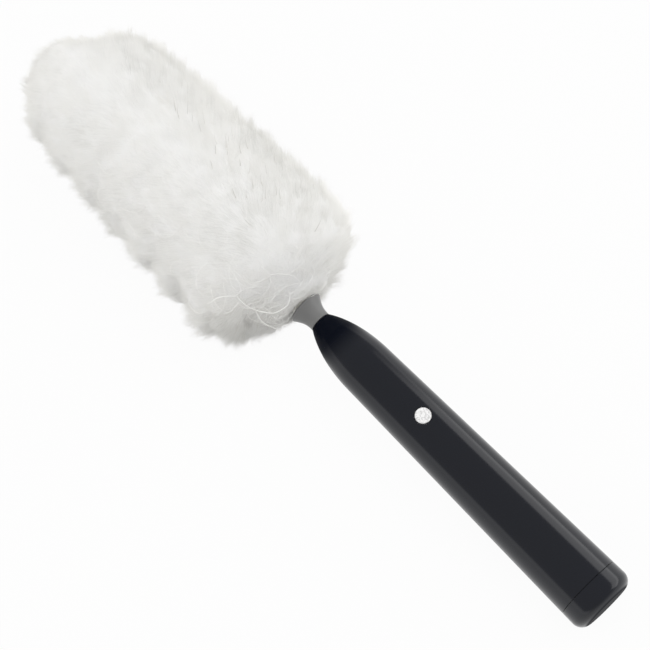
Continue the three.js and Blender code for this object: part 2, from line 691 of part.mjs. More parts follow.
/** Shaft, winding core and pinion that turn inside the motor. */
function motorRotor() {
  const shaft = rod(MOTOR_X - MOTOR_SHAFT_TAIL, GEAR_END, MOTOR_SHAFT_RADIUS, SMALL_ROUND);
  const coreX = MOTOR_X + (MOTOR_LENGTH - ARMATURE_LENGTH) / 2;
  const slots = Array.from({ length: POLES }, (_, k) => block(
    0, HANDLE_LENGTH, ARMATURE_RADIUS / 2, REACH, -ARMATURE_SLOT / 2, ARMATURE_SLOT / 2,
    2 * Math.PI * k / POLES,
  ));
  const hub = MOTOR_SHAFT_RADIUS + FIT;
  const core = subtractAll(
    tube(coreX, coreX + ARMATURE_LENGTH, hub, ARMATURE_RADIUS, ROUND),
    slots,
  );
  const pinion = prism(gearOutline(SUN_TEETH, ADDENDUM, DEDENDUM, BACKLASH), GEAR_X, GEAR_END)
    .subtract(rod(0, HANDLE_LENGTH, hub, SMALL_ROUND));
  return [
    piece('motor_shaft', shaft, 'steel'),
    piece('motor_armature', core, 'iron'),
    piece('motor_pinion', pinion, 'brass'),
  ];
}

/** Fixed pieces of the gearbox, held by two screws through its ears. */
function gearboxFrame() {
  const sides = [1, -1];
  const ears = (from, to) => addAll(
    sides.map((side) => rod(from, to, EAR_RADIUS, SMALL_ROUND, side * EAR_Y)),
  );
  const screwHoles = sides.map(
    (side) => rod(0, HOUSING_X + EAR_LENGTH - FIT, EAR_SCREW_RADIUS + FIT, SMALL_ROUND, side * EAR_Y),
  );
  const plate = subtractAll(
    rod(PLATE_X, PLATE_X + PLATE, GEARBOX_RADIUS, ROUND).add(ears(PLATE_X, PLATE_X + PLATE)),
    [rod(0, HANDLE_LENGTH, MOTOR_BOSS_RADIUS + FIT, ROUND), ...screwHoles],
  );
  const cupWall = (RING_BORE + GEARBOX_RADIUS) / 2;
  const cup = lathe([
    [HOUSING_X, cupWall], [HOUSING_X, GEARBOX_RADIUS], [HOUSING_END, GEARBOX_RADIUS],
    [HOUSING_END, REAR_BUSH_RADIUS + FIT], [HOUSING_WALL_X, REAR_BUSH_RADIUS + FIT],
    [HOUSING_WALL_X, cupWall], [HOUSING_X, cupWall],
  ], ROUND).add(ears(HOUSING_X, HOUSING_X + EAR_LENGTH));
  const ringEnd = GEAR_END + FIT;
  const ring = rod(HOUSING_X, ringEnd, cupWall + FIT, ROUND)
    .subtract(prism(gearOutline(RING_TEETH, DEDENDUM, ADDENDUM, -BACKLASH), 0, HANDLE_LENGTH));
  const housing = subtractAll(cup.add(ring), screwHoles);
  const rearBush = tube(REAR_BUSH_X, REAR_BUSH_X + REAR_BUSH, BUSH_BORE, REAR_BUSH_RADIUS, ROUND);
  const frontBush = lathe([
    [BUSH_X - BUSH_FLANGE, BUSH_BORE], [BUSH_X - BUSH_FLANGE, BUSH_FLANGE_RADIUS],
    [BUSH_X, BUSH_FLANGE_RADIUS], [BUSH_X, FRONT_BUSH_RADIUS],
    [BUSH_X + FRONT_BUSH, FRONT_BUSH_RADIUS], [BUSH_X + FRONT_BUSH, BUSH_BORE],
    [BUSH_X - BUSH_FLANGE, BUSH_BORE],
  ], ROUND);
  const headX = PLATE_X - FIT;
  const screw = (side) => lathe([
    [headX - EAR_SCREW_HEAD, 0], [headX - EAR_SCREW_HEAD, EAR_SCREW_HEAD_RADIUS],
    [headX, EAR_SCREW_HEAD_RADIUS], [headX, EAR_SCREW_RADIUS],
    [HOUSING_X + EAR_LENGTH - 2 * FIT, EAR_SCREW_RADIUS], [HOUSING_X + EAR_LENGTH - 2 * FIT, 0],
  ], SMALL_ROUND, side * EAR_Y);
  return [
    piece('gearbox_plate', plate, 'darkPlastic'),
    piece('ring_gear_housing', housing, 'whitePlastic'),
    piece('gearbox_screw_1', screw(1), 'steel'),
    piece('gearbox_screw_2', screw(-1), 'steel'),
    piece('rear_bush', rearBush, 'brass'),
    piece('front_bush', frontBush, 'brass'),
  ];
}

/** Planet gears on the carrier's pins, each in mesh with the sun and the ring. */
function planetGears() {
  const gear = prism(gearOutline(PLANET_TEETH, ADDENDUM, DEDENDUM, BACKLASH), GEAR_X, GEAR_END)
    .subtract(rod(0, HANDLE_LENGTH, PIN_RADIUS + PIN_FIT, SMALL_ROUND));
  const pattern = piece('planet', gear, 'whitePlastic');
  return Array.from({ length: PLANETS }, (_, k) => {
    const angle = 2 * Math.PI * k / PLANETS;
    const name = `planet_gear_${k + 1}`;
    const planet = again(pattern, name, 0, ORBIT * Math.cos(angle), ORBIT * Math.sin(angle));
    planet.rotation.x = angle;
    return planet;
  });
}

/** Carrier, drive shaft and clip: the gearbox's slow output. */
function spindlePieces() {
  const pins = Array.from({ length: PLANETS }, (_, k) => {
    const angle = 2 * Math.PI * k / PLANETS;
    const [y, z] = [ORBIT * Math.cos(angle), ORBIT * Math.sin(angle)];
    return rod(GEAR_X, CARRIER_X + FIT, PIN_RADIUS, SMALL_ROUND, y, z);
  });
  const carrier = addAll([
    tube(CARRIER_X, CARRIER_END, SHAFT_RADIUS + FIT, CARRIER_RADIUS, ROUND),
    ...pins,
  ]);
  const groove = SHAFT_RADIUS - SHAFT_GROOVE;
  const shaftRound = lathe([
    [SHAFT_X, 0], [SHAFT_X, SHAFT_RADIUS], [CLIP_X - FIT, SHAFT_RADIUS], [CLIP_X - FIT, groove],
    [CLIP_X + CLIP + FIT, groove], [CLIP_X + CLIP + FIT, SHAFT_RADIUS],
    [SHAFT_END, SHAFT_RADIUS], [SHAFT_END, 0],
  ], ROUND);
  const flat = block(COLLAR_X - FIT, SHAFT_END + FIT, -REACH, REACH, SHAFT_FLAT, REACH);
  const mouth = CLIP_MOUTH / 2;
  const clip = tube(CLIP_X, CLIP_X + CLIP, groove + FIT, CLIP_RADIUS, ROUND)
    .subtract(block(0, HANDLE_LENGTH, -mouth, mouth, -REACH, 0));
  return [
    piece('planet_carrier', carrier, 'whitePlastic'),
    piece('drive_shaft', shaftRound.subtract(flat), 'steel'),
    piece('shaft_clip', clip, 'steel'),
  ];
}

/** End cap with the bridge and spring that join the two columns of cells. */
function endCapPieces() {
  const seamRadius = handleRadius(CAP_LENGTH);
  const inner = SPIGOT_RADIUS - SPIGOT_WALL;
  const chamfer = SPIGOT_WALL;
  const shell = lathe([
    [0, 0],
    ...arcPoints(EDGE_RADIUS, FACE_RADIUS, EDGE_RADIUS, Math.PI, Math.PI / 2, 6),
    [CAP_LENGTH, seamRadius], [CAP_LENGTH, SPIGOT_RADIUS], [SPIGOT_END, SPIGOT_RADIUS],
    [SPIGOT_END, inner], [CAP_FLOOR + chamfer, inner], [CAP_FLOOR, inner - chamfer], [CAP_FLOOR, 0],
  ], BODY_ROUND);
  const half = KEY_WIDTH / 2;
  const keys = [1, -1].map((side) => {
    const edges = [side * (inner + SPIGOT_WALL / 2), side * (SPIGOT_RADIUS + KEY_HEIGHT)];
    return block(CAP_LENGTH - FIT, SPIGOT_END, -half, half, Math.min(...edges), Math.max(...edges));
  });
  const bridgeEnd = BRIDGE_X + CONTACT_THICKNESS;
  const bridge = addAll([
    rod(BRIDGE_X, bridgeEnd, CONTACT_RADIUS, SMALL_ROUND, CELL_Y),
    rod(BRIDGE_X, bridgeEnd, CONTACT_RADIUS, SMALL_ROUND, -CELL_Y),
    block(BRIDGE_X, bridgeEnd, -CELL_Y, CELL_Y, -CONTACT_RADIUS / 2, CONTACT_RADIUS / 2),
  ]);
  return [
    piece('end_cap', addAll([shell, ...keys]), 'blackGloss'),
    piece('cap_contact_bridge', bridge, 'steel'),
    piece('cap_spring', coil(bridgeEnd, SPRUNG_CELL_X, CELL_Y), 'steel'),
  ];
}

/** Push button and the plunger it carries into the switch. */
function buttonPieces() {
  const button = latheUp([
    [FLANGE_Z, 0], [FLANGE_Z, BUTTON_FLANGE_RADIUS], [FLANGE_TOP, BUTTON_FLANGE_RADIUS],
    [FLANGE_TOP, BUTTON_RADIUS], [BUTTON_TOP - 2 * BUTTON_ROUND, BUTTON_RADIUS],
    [BUTTON_TOP - BUTTON_ROUND, BUTTON_RADIUS - BUTTON_ROUND], [BUTTON_TOP, 0],
  ], ROUND, BUTTON_X, 0);
  const plunger = post(BUTTON_X, 0, PLUNGER_Z, FLANGE_Z - FIT, PLUNGER_RADIUS);
  return [
    piece('push_button', button, 'whiteGloss'),
    piece('switch_plunger', plunger, 'darkPlastic'),
  ];
}

/** Collar, spine and fluff: the washable head that pulls off the drive shaft. */
function headPieces() {
  const lipX = COLLAR_END - LIP_ROUND;
  const lipRadius = COLLAR_LIP_RADIUS - LIP_ROUND;
  const flare = new THREE.CubicBezierCurve(
    new THREE.Vector2(COLLAR_FACE_X + FIT, COLLAR_NECK_RADIUS),
    new THREE.Vector2(COLLAR_FACE_X + COLLAR_LENGTH * FLARE_START, COLLAR_NECK_RADIUS),
    new THREE.Vector2(COLLAR_FACE_X + COLLAR_LENGTH * FLARE_TURN, COLLAR_LIP_RADIUS - 2 * LIP_ROUND),
    new THREE.Vector2(lipX - LIP_ROUND * Math.SQRT1_2, lipRadius + LIP_ROUND * Math.SQRT1_2),
  ).getPoints(6).map((point) => [point.x, point.y]);
  const spigot = NOSE_BORE - COLLAR_SPIN_GAP;
  const socket = SPINE_RADIUS + FIT;
  const driveEnd = COLLAR_X + COLLAR_DRIVE;
  const bore = SHAFT_RADIUS + FIT;
  const round = lathe([
    [COLLAR_X, 0], [COLLAR_X, spigot], [COLLAR_FACE_X, spigot],
    [COLLAR_FACE_X, COLLAR_NECK_RADIUS - FIT],
    ...flare,
    ...arcPoints(lipX, lipRadius, LIP_ROUND, Math.PI / 2, 0, 3),
    [COLLAR_END, 0],
  ], FLUFF_ROUND);
  const driveBore = rod(0, driveEnd + FIT, bore, ROUND)
    .intersect(block(0, driveEnd + FIT, -REACH, REACH, -REACH, SHAFT_FLAT + FIT));
  const collar = subtractAll(round, [
    driveBore,
    rod(driveEnd, COLLAR_END + FIT, socket, ROUND),
  ]);
  const spine = rod(SPINE_X, SPINE_END, SPINE_RADIUS, ROUND)
    .subtract(rod(0, SHAFT_END + FIT, bore, ROUND));
  const sleeve = tube(SLEEVE_X, SPINE_END, socket, SLEEVE_RADIUS, ROUND);
  const tip = lathe([
    [TIP_X, 0],
    [TIP_X, TIP_RADIUS],
    ...arcPoints(TIP_END - TIP_RADIUS, 0, TIP_RADIUS, Math.PI / 2, 0, 3),
  ], ROUND);
  return [
    piece('neck_collar', collar, 'greySatin'),
    piece('head_spine', spine, 'spine'),
    piece('fibre_sleeve', sleeve, 'webbing'),
    piece('spine_tip', tip, 'spine'),
    piece('fluff', fluffSolid(), 'fluff'),
  ];
}

/** Soft solid for the fibres: a thick skin, closed at its tip and flattened by the floor. */
function fluffSolid() {
  const steps = 13;
  const outer = [];
  const inner = [];
  for (let i = 0; i <= steps; i += 1) {
    const eased = (1 - Math.cos(Math.PI * i / steps)) / 2;
    const x = FLUFF_X + (FLUFF_END - FLUFF_X) * eased;
    const radius = fluffRadius(x);
    outer.push([x, i === steps ? 0 : radius]);
    const innerX = FLUFF_X + FLUFF_PILE + (TIP_END + FIT - FLUFF_X - FLUFF_PILE) * eased;
    const innerRadius = Math.max(SLEEVE_RADIUS + FIT, fluffRadius(innerX) - FLUFF_PILE);
    inner.push([innerX, innerRadius]);
  }
  const skin = lathe(outer, FLUFF_ROUND).subtract(lowerThan(0));
  const hollow = lathe([[FLUFF_X + FLUFF_PILE, 0], ...inner, [TIP_END + FIT, 0]], FLUFF_ROUND)
    .subtract(lowerThan(FLUFF_PILE));
  const neck = rod(0, FLUFF_X + 2 * FLUFF_PILE, SLEEVE_RADIUS + FIT, ROUND);
  return subtractAll(skin, [hollow, neck]);
}

/** Everything lower than a height over the floor, in the tool's own frame. */
function lowerThan(height) {
  const size = 4 * FLUFF_END;
  const ground = new THREE.BoxGeometry(size, size, size);
  ground.translate(0, 0, height - size / 2 - AXIS_HEIGHT).rotateY(REST_TILT);
  return solidFrom(ground);
}

/** Wires from the contacts to the board and the motor. */
function wirePieces() {
  const start = TAB_END + WIRE_RADIUS;
  const end = MOTOR_REAR - TERMINAL_LENGTH - 2 * WIRE_RADIUS;
  const under = BOARD_Z - FIT - WIRE_RADIUS;
  const drop = -2 * BOARD_Z;
  const rear = BUTTON_X - BOARD_LENGTH / 2;
  const front = rear + BOARD_LENGTH;
  return [
    piece('wire_positive', wire([
      [start, TAB_OFFSET, 0], [(start + rear) / 2, TAB_OFFSET, 0], [rear, TAB_OFFSET, under],
      [BUTTON_X - SWITCH_SIZE, TAB_OFFSET, under],
    ]), 'redWire'),
    piece('wire_motor', wire([
      [BUTTON_X, TAB_OFFSET, under], [(BUTTON_X + front) / 2, TAB_OFFSET, under],
      [end - WIRE_RADIUS, TAB_OFFSET, under / 2], [end, TAB_OFFSET, 0],
    ]), 'redWire'),
    piece('wire_negative', wire([
      [start, -TAB_OFFSET, 0], [rear, -TAB_OFFSET, drop / 2], [BUTTON_X, -TAB_OFFSET, drop],
      [(BUTTON_X + front) / 2, -TAB_OFFSET, drop / 2], [end, -TAB_OFFSET, 0],
    ]), 'blackWire'),
  ];
}

const tool = new THREE.Group();
tool.name = 'tool';
tool.add(
  bodyOf('handle', [
    ...handleShells(),
    ...cellsAndTray(),
    ...switchAndBoard(),
    ...motorStator(),
    ...gearboxFrame(),
    ...wirePieces(),
  ]),
  bodyOf('cap', endCapPieces()),
  bodyOf('button', buttonPieces()),
  bodyOf('rotor', motorRotor()),
  bodyOf('planets', planetGears()),
  bodyOf('spindle', spindlePieces()),
  bodyOf('head', headPieces()),
);
tool.rotation.y = -REST_TILT;
tool.position.z = AXIS_HEIGHT;
tool.updateMatrixWorld(true);
const bounds = new THREE.Box3().setFromObject(tool, true);
tool.position.x -= (bounds.min.x + bounds.max.x) / 2;
tool.position.y -= (bounds.min.y + bounds.max.y) / 2;
tool.position.z -= bounds.min.z;

const part = new THREE.Group();
part.name = 'spin_duster';
part.add(tool);

export default part;
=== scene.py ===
"""Electric spin duster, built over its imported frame.

In the duster's own frame x runs along the tool from the flat base to the head's tip, z points out through
the push button and y completes the right-handed set. All sizes are in metres.
"""
import json
import math

import bmesh
import bpy
import numpy as np
from bpy.props import FloatProperty, FloatVectorProperty, IntProperty, PointerProperty
from mathutils import Matrix, Vector


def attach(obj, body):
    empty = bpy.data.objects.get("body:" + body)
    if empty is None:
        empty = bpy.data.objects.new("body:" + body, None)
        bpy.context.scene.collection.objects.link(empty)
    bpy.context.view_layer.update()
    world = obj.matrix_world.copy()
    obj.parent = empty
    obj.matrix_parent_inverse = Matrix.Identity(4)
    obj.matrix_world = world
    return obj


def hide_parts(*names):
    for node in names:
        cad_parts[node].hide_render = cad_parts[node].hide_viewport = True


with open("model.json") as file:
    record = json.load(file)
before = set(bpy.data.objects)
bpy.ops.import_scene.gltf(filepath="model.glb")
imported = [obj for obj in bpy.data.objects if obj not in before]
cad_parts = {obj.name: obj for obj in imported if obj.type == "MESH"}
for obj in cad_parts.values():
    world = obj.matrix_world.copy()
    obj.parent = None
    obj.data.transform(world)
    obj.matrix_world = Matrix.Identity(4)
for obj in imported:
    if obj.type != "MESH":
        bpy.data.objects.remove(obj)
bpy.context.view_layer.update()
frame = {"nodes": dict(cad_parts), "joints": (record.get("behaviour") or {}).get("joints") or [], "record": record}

bl_info = {
    "name": "Electric spin duster",
    "version": (1, 0, 0),
    "blender": (4, 5, 0),
    "location": "View3D > Sidebar > Duster",
    "description": "Builds a cordless duster, glossy handle and spinning fluffy head, over its frame",
    "category": "Add Mesh",
}

MM = 0.001
WELD = 2e-6  # points closer than this are one point
NO_FLAT = 1.0  # a height for a flat that cuts nothing
JOINTS = {joint["name"]: joint for joint in frame["joints"]}
SCREWS = [f"shell_screw_{n}" for n in (1, 2, 3, 4)]


def node_points(node):
    """The points of a frame node, in the row frame."""
    mesh = frame["nodes"][node].data
    points = np.empty(len(mesh.vertices) * 3, np.float32)
    mesh.vertices.foreach_get("co", points)
    return points.reshape(-1, 3).astype(float)


# The tool's own frame, read from its joints: the head's spin axis, the button's travel and the base's face
AXIS = np.array(JOINTS["head_spin"]["axis"], float)
UP = -np.array(JOINTS["button_press"]["axis"], float)
SIDE = np.cross(UP, AXIS)
BASIS = np.stack([AXIS, SIDE, UP])
SPIN_CENTRE = np.array(JOINTS["head_spin"]["pos_m"], float)
ORIGIN = SPIN_CENTRE + AXIS * ((node_points("end_cap") - SPIN_CENTRE) @ AXIS).min()
TILT = math.atan2(AXIS[2], AXIS[0])


def to_row(points):
    """Points of the tool's own frame, in the row frame."""
    return ORIGIN + points @ BASIS


def span(node):
    """Lowest and highest corner of a frame node, in the tool's own frame."""
    points = (node_points(node) - ORIGIN) @ BASIS.T
    return points.min(axis=0), points.max(axis=0)


def middle(node):
    """Middle of a frame node's box, in the tool's own frame."""
    low, high = span(node)
    return (low + high) / 2


# Settings that a user would change

def length(name, about, default):
    """A size in metres."""
    return FloatProperty(name=name, description=about, default=default, min=0.0, precision=5, unit="LENGTH")


def share(name, about, default):
    """A share from 0 to 1."""
    return FloatProperty(name=name, description=about, default=default, min=0.0, max=1.0, subtype="FACTOR")


def tint(name, about, default):
    """A colour."""
    return FloatVectorProperty(name=name, description=about, default=default, size=3, min=0.0, max=1.0,
                               subtype="COLOR")


def power(name, about, default):
    """A lamp's power in watts."""
    return FloatProperty(name=name, description=about, default=default, min=0.0, subtype="POWER")


def location(name, about, default):
    """A point in the row frame."""
    return FloatVectorProperty(name=name, description=about, default=default, unit="LENGTH")


def number(name, about, default, most):
    """A count, or a seed."""
    return IntProperty(name=name, description=about, default=default, min=1, max=most)


class HandleSizes(bpy.types.PropertyGroup):
    """Outline and wall of the handle"""
    long: length("Length", "From the flat base to the nose", 0.2205)
    base_radius: length("Base radius", "Radius where the rounded base meets the side", 0.01935)
    edge_round: length("Base edge", "Rounding of the base's edge", 0.0065)
    shoulder_radius: length("Shoulder radius", "Radius where the nose begins", 0.01585)
    nose_long: length("Nose length", "From the shoulder to the nose's rim", 0.0375)
    nose_radius: length("Nose radius", "Radius of the nose's rim", 0.0065)
    wall: length("Wall", "Thickness of the shells", 0.0018)
    seam: length("Seam", "Gap between the shells and before the end cap", 0.0003)
    cap_long: length("End cap", "Length of the end cap", 0.014)
    edge_soften: length("Edge softening", "Small rounding of moulded edges", 0.0003)


class ButtonSizes(bpy.types.PropertyGroup):
    """Push button and screws"""
    radius: length("Button radius", "Radius of the push button", 0.0045)
    gap: length("Button gap", "Gap round the push button", 0.0004)
    flange: length("Button flange", "Height of the flange that holds the button in", 0.0012)
    screw_head: length("Screw head", "Radius of a shell screw's head", 0.0021)
    screw_well: length("Screw well", "Radius of the wells of the shell screws", 0.0024)
    screw_boss: length("Screw boss", "Radius of the bosses round the wells", 0.0029)


class CollarSizes(bpy.types.PropertyGroup):
    """Neck collar and drive shaft"""
    neck_radius: length("Neck radius", "Radius of the collar behind its flare", 0.0064)
    lip_radius: length("Lip radius", "Radius of the collar's lip", 0.0103)
    lip_round: length("Lip rounding", "Rounding of the collar's lip", 0.0011)
    spigot: length("Spigot radius", "Radius of the spigot inside the nose", 0.0049)
    shaft_radius: length("Shaft radius", "Radius of the drive shaft", 0.0025)
    shaft_flat: length("Shaft flat", "Height of the driving flat over the axis", 0.0017)


class FluffSizes(bpy.types.PropertyGroup):
    """Form of the fluffy head"""
    rear_radius: length("Rear radius", "Radius of the fluff near the neck", 0.0532)
    front_radius: length("Front radius", "Radius of the fluff near its tip", 0.0410)
    rear_round: length("Rear rounding", "Length of the rounded rear end", 0.032)
    front_round: length("Front rounding", "Length of the rounded tip", 0.044)
    past_spine: length("Past the spine", "How far the fluff stands past the spine's tip", 0.0222)
    pile: length("Pile", "Depth of the loose strands", 0.0050)
    sweep: length("Sweep", "How far strands lean towards the tip", 0.0095)
    fall: length("Fall", "How far strands lean down from the top to the sides", 0.0080)
    lean: length("Lean", "How far the fluff stands over to its right", 0.0017)
    tuft: length("Tuft", "Spacing of the tufts", 0.0258)
    lobe: length("Lobe", "How far the packed fibre swells under a tuft", 0.0034)
    scallop: length("Scallop", "How far a tuft's rear stands out on the left", 0.0078)
    lock: length("Lock", "Width of the locks that strands gather in", 0.0060)
    strand: length("Strand", "Thickness of a strand at its root", 0.00013)
    strands: number("Strands", "Strands of each band", 11700, 12400)
    bands: number("Bands", "Bands of strands along the head", 8, 9)
    fringe: number("Fringe", "Short strands round the collar's lip", 7000, 12000)
    hairs: number("Stray hairs", "Long loose hairs over the fluff", 70, 500)
    seed: number("Seed", "Start of the strands' random numbers", 7, 100000)


class FinishColours(bpy.types.PropertyGroup):
    """Colours of the finishes"""
    handle: tint("Handle", "Black gloss of the handle", (0.0018, 0.003, 0.0075))
    collar: tint("Collar", "Satin grey of the neck collar", (0.178, 0.178, 0.176))
    button: tint("Button", "White of the push button", (0.9, 0.895, 0.89))
    fluff_tip: tint("Strand tips", "Fluff at the tips of its strands", (0.988, 0.98, 0.944))
    fluff_root: tint("Strand roots", "Fluff at the roots of its strands", (0.978, 0.968, 0.926))
    steel: tint("Steel", "Springs, contacts, screws and shafts", (0.56, 0.56, 0.57))
    brass: tint("Brass", "Bushes, pinion and terminals", (0.62, 0.43, 0.16))
    tray: tint("Dark plastic", "Tray, switch and gearbox plate", (0.018, 0.019, 0.021))
    gears: tint("White plastic", "Gears and their housing", (0.72, 0.715, 0.69))


class StageSettings(bpy.types.PropertyGroup):
    """Camera and light"""
    lens: FloatProperty(name="Lens", description="Focal length of the camera", default=110.4, min=1.0,
                        unit="CAMERA")
    place: location("Camera place", "Where the camera stands", (-0.3907, 0.2069, 1.0595))
    aim: location("Camera aim", "What the camera looks at", (-0.00455, -0.00252, 0.03))
    roll: FloatProperty(name="Camera roll", description="Turn of the camera about its view",
                        default=-0.2763, subtype="ANGLE")
    overhead: share("Overhead", "Brightness of the studio overhead", 0.5)
    horizon: FloatProperty(name="Horizon", description="Brightness of the studio near the floor",
                           default=1.1, min=0.0)
    behind: share("Behind", "Brightness of the studio near the floor behind the handle's base", 0.7)
    softbox: power("Softbox", "Power of the long softbox on the right", 5.8)
    key: power("Key light", "Power of the wide light overhead", 11.6)
    fill: power("Fill light", "Power of the light on the left before the tip", 6.3)


class DusterSettings(bpy.types.PropertyGroup):
    """All settings of the duster"""
    handle: PointerProperty(type=HandleSizes)
    button: PointerProperty(type=ButtonSizes)
    collar: PointerProperty(type=CollarSizes)
    fluff: PointerProperty(type=FluffSizes)
    colours: PointerProperty(type=FinishColours)
    stage: PointerProperty(type=StageSettings)


# Surfaces

def patch(points, wrap=False):
    """A grid of points as (points, quads): neighbours share an edge, and with wrap the last column meets
    the first."""
    rows, columns = points.shape[:2]
    index = np.arange(rows * columns).reshape(rows, columns)
    if wrap:
        index = np.concatenate([index, index[:, :1]], axis=1)
    quads = np.stack([index[:-1, :-1], index[1:, :-1], index[1:, 1:], index[:-1, 1:]], axis=-1)
    return points.reshape(-1, 3), quads.reshape(-1, 4)


def rounded(corners, steps=5):
    """An outline through corners (along, radius, rounding). At a corner with a rounding, the outline leaves
    one side and joins the other at that distance, on a parabola that is tangent to both."""
    corners = np.asarray(corners, float)
    places = corners[:, :2]
    bends = np.linspace(0.0, 1.0, steps + 1)[:, None]
    outline = [places[:1]]
    for before, corner, after, size in zip(places, places[1:], places[2:], corners[1:, 2]):
        if size == 0.0:
            outline.append(corner[None])
            continue
        start = corner + (before - corner) * min(0.5, size / np.linalg.norm(before - corner))
        end = corner + (after - corner) * min(0.5, size / np.linalg.norm(after - corner))
        outline.append((1 - bends) ** 2 * start + 2 * bends * (1 - bends) * corner + bends ** 2 * end)
    outline.append(places[-1:])
    return np.concatenate(outline)


def ramp_up(value, start, end):
    """0 up to the start, 1 from the end, and a straight line between."""
    return np.clip((value - start) / (end - start), 0, 1)


def bump(value, centre, width):
    """A bell curve: 1 at the centre, about a third at a width from it."""
    return np.exp(-((value - centre) / width) ** 2)


def unit(vectors):
    """Vectors of length one."""
    return vectors / np.linalg.norm(vectors, axis=-1, keepdims=True)


def cubic(start, first, second, end, steps):
    """Points on a cubic curve that leaves its start towards the first guide and comes to its end from the
    second."""
    t = np.linspace(0.0, 1.0, steps + 1)[:, None]
    return ((1 - t) ** 3 * np.asarray(start) + 3 * t * (1 - t) ** 2 * np.asarray(first)
            + 3 * t ** 2 * (1 - t) * np.asarray(second) + t ** 3 * np.asarray(end))


def full_turn(sides):
    """Equal angles once round, as a row."""
    return np.linspace(0.0, 2 * np.pi, sides, endpoint=False)[None, :]


def turned(outline, sides=96, flat=None):
    """An outline of (along, radius) turned about the tool's axis. Angles start at the button's side. Where
    flat gives a height for a point of the outline, the ring there is cut level at that height."""
    angle = full_turn(sides)
    along, radius = outline[:, :1], outline[:, 1:2]
    if flat is not None:
        facing = np.maximum(np.cos(angle), 0.05)
        radius = np.minimum(radius, np.where(np.cos(angle) > 0.05, flat[:, None] / facing, NO_FLAT))
    radius = np.broadcast_to(radius, (len(outline), sides))
    along = np.broadcast_to(along, radius.shape)
    return patch(np.stack([along, radius * np.sin(angle), radius * np.cos(angle)], axis=-1), wrap=True)


def turned_up(outline, x, y, sides=64):
    """An outline of (height, radius) turned about a line through x, y that runs along the tool's z."""
    angle = full_turn(sides)
    height, radius = outline[:, :1], outline[:, 1:2]
    return patch(np.stack([x + radius * np.cos(angle), y + radius * np.sin(angle),
                           np.broadcast_to(height, (len(outline), sides))], axis=-1), wrap=True)


def put(name, mesh, body, finish, stands_for=()):
    """Links a mesh as a piece that rides on a body, with its finish and the nodes it stands for."""
    piece = bpy.data.objects.new(name, mesh)
    bpy.context.scene.collection.objects.link(piece)
    mesh.materials.append(finish)
    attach(piece, body)
    if stands_for:
        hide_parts(*stands_for)
    return piece


def solid(name, patches, body, finish, stands_for=(), sharp=32.0):
    """Joins patches of the tool's own frame into one closed mesh. Touching points become one, faces turn
    outwards, and edges sharper than an angle in degrees stay crisp."""
    starts = np.cumsum([0] + [len(points) for points, _ in patches])
    points = to_row(np.concatenate([points for points, _ in patches]))
    quads = np.concatenate([quads + start for (_, quads), start in zip(patches, starts)])
    mesh = bpy.data.meshes.new(name)
    mesh.from_pydata(points.tolist(), [], quads.tolist())
    work = bmesh.new()
    work.from_mesh(mesh)
    bmesh.ops.remove_doubles(work, verts=work.verts, dist=WELD)
    bmesh.ops.recalc_face_normals(work, faces=work.faces)
    work.to_mesh(mesh)
    work.free()
    mesh.shade_smooth()
    mesh.set_sharp_from_angle(angle=math.radians(sharp))
    return put(name, mesh, body, finish, stands_for)


# Finishes

class Wire:
    """An output of a node. Arithmetic on it adds Math nodes."""

    def __init__(self, tree, socket):
        self.tree = tree
        self.socket = socket

    def output(self, name):
        """Another output of the same node."""
        return Wire(self.tree, self.socket.node.outputs[name])

    def _math(self, operation, first, second):
        return self.tree.node("ShaderNodeMath", {"operation": operation}, {0: first, 1: second})

    def __add__(self, other):
        return self._math("ADD", self, other)

    def __radd__(self, other):
        return self._math("ADD", other, self)

    def __sub__(self, other):
        return self._math("SUBTRACT", self, other)

    def __rsub__(self, other):
        return self._math("SUBTRACT", other, self)

    def __mul__(self, other):
        return self._math("MULTIPLY", self, other)

    def __rmul__(self, other):
        return self._math("MULTIPLY", other, self)


class Nodes:
    """The nodes of a finish or of the world."""

    def __init__(self, tree):
        self.nodes, self.links = tree.nodes, tree.links

    def feed(self, socket, value):
        """Links a wire to a socket, or sets the socket's own value."""
        if isinstance(value, Wire):
            self.links.new(value.socket, socket)
        elif hasattr(socket.default_value, "__len__") and len(socket.default_value) == 4:
            socket.default_value = (*value[:3], 1.0)
        else:
            socket.default_value = value

    def node(self, kind, settings=None, inputs=None, output=0):
        """Any node: its type, its settings, which are set first, and the values or links of its sockets."""
        made = self.nodes.new(kind)
        for name, value in (settings or {}).items():
            if name == "stops":
                ramp = made.color_ramp
                ramp.elements[0].position, ramp.elements[-1].position = value[0][0], value[-1][0]
                for place, _ in value[1:-1]:
                    ramp.elements.new(place)
                for element, (_, colour) in zip(ramp.elements, value):
                    element.color = (*colour, 1.0)
            else:
                setattr(made, name, value)
        for name, value in (inputs or {}).items():
            self.feed(made.inputs[name], value)
        return Wire(self, made.outputs[output])

    def mix(self, factor, first, second, blend="MIX"):
        """One colour turning into another, or blended with it."""
        return self.node("ShaderNodeMix", {"data_type": "RGBA", "blend_type": blend},
                         {0: factor, 6: first, 7: second}, output=2)

    def ramp(self, value, stops):
        """A value turned into colours at its stops."""
        return self.node("ShaderNodeValToRGB", {"stops": stops}, {"Fac": value})

    def between(self, value, low, high, start=0.0, end=1.0):
        """A value between low and high eased to run from start to end."""
        return self.node(
            "ShaderNodeMapRange", {"interpolation_type": "SMOOTHSTEP"},
            {"Value": value, "From Min": low, "From Max": high, "To Min": start, "To Max": end})


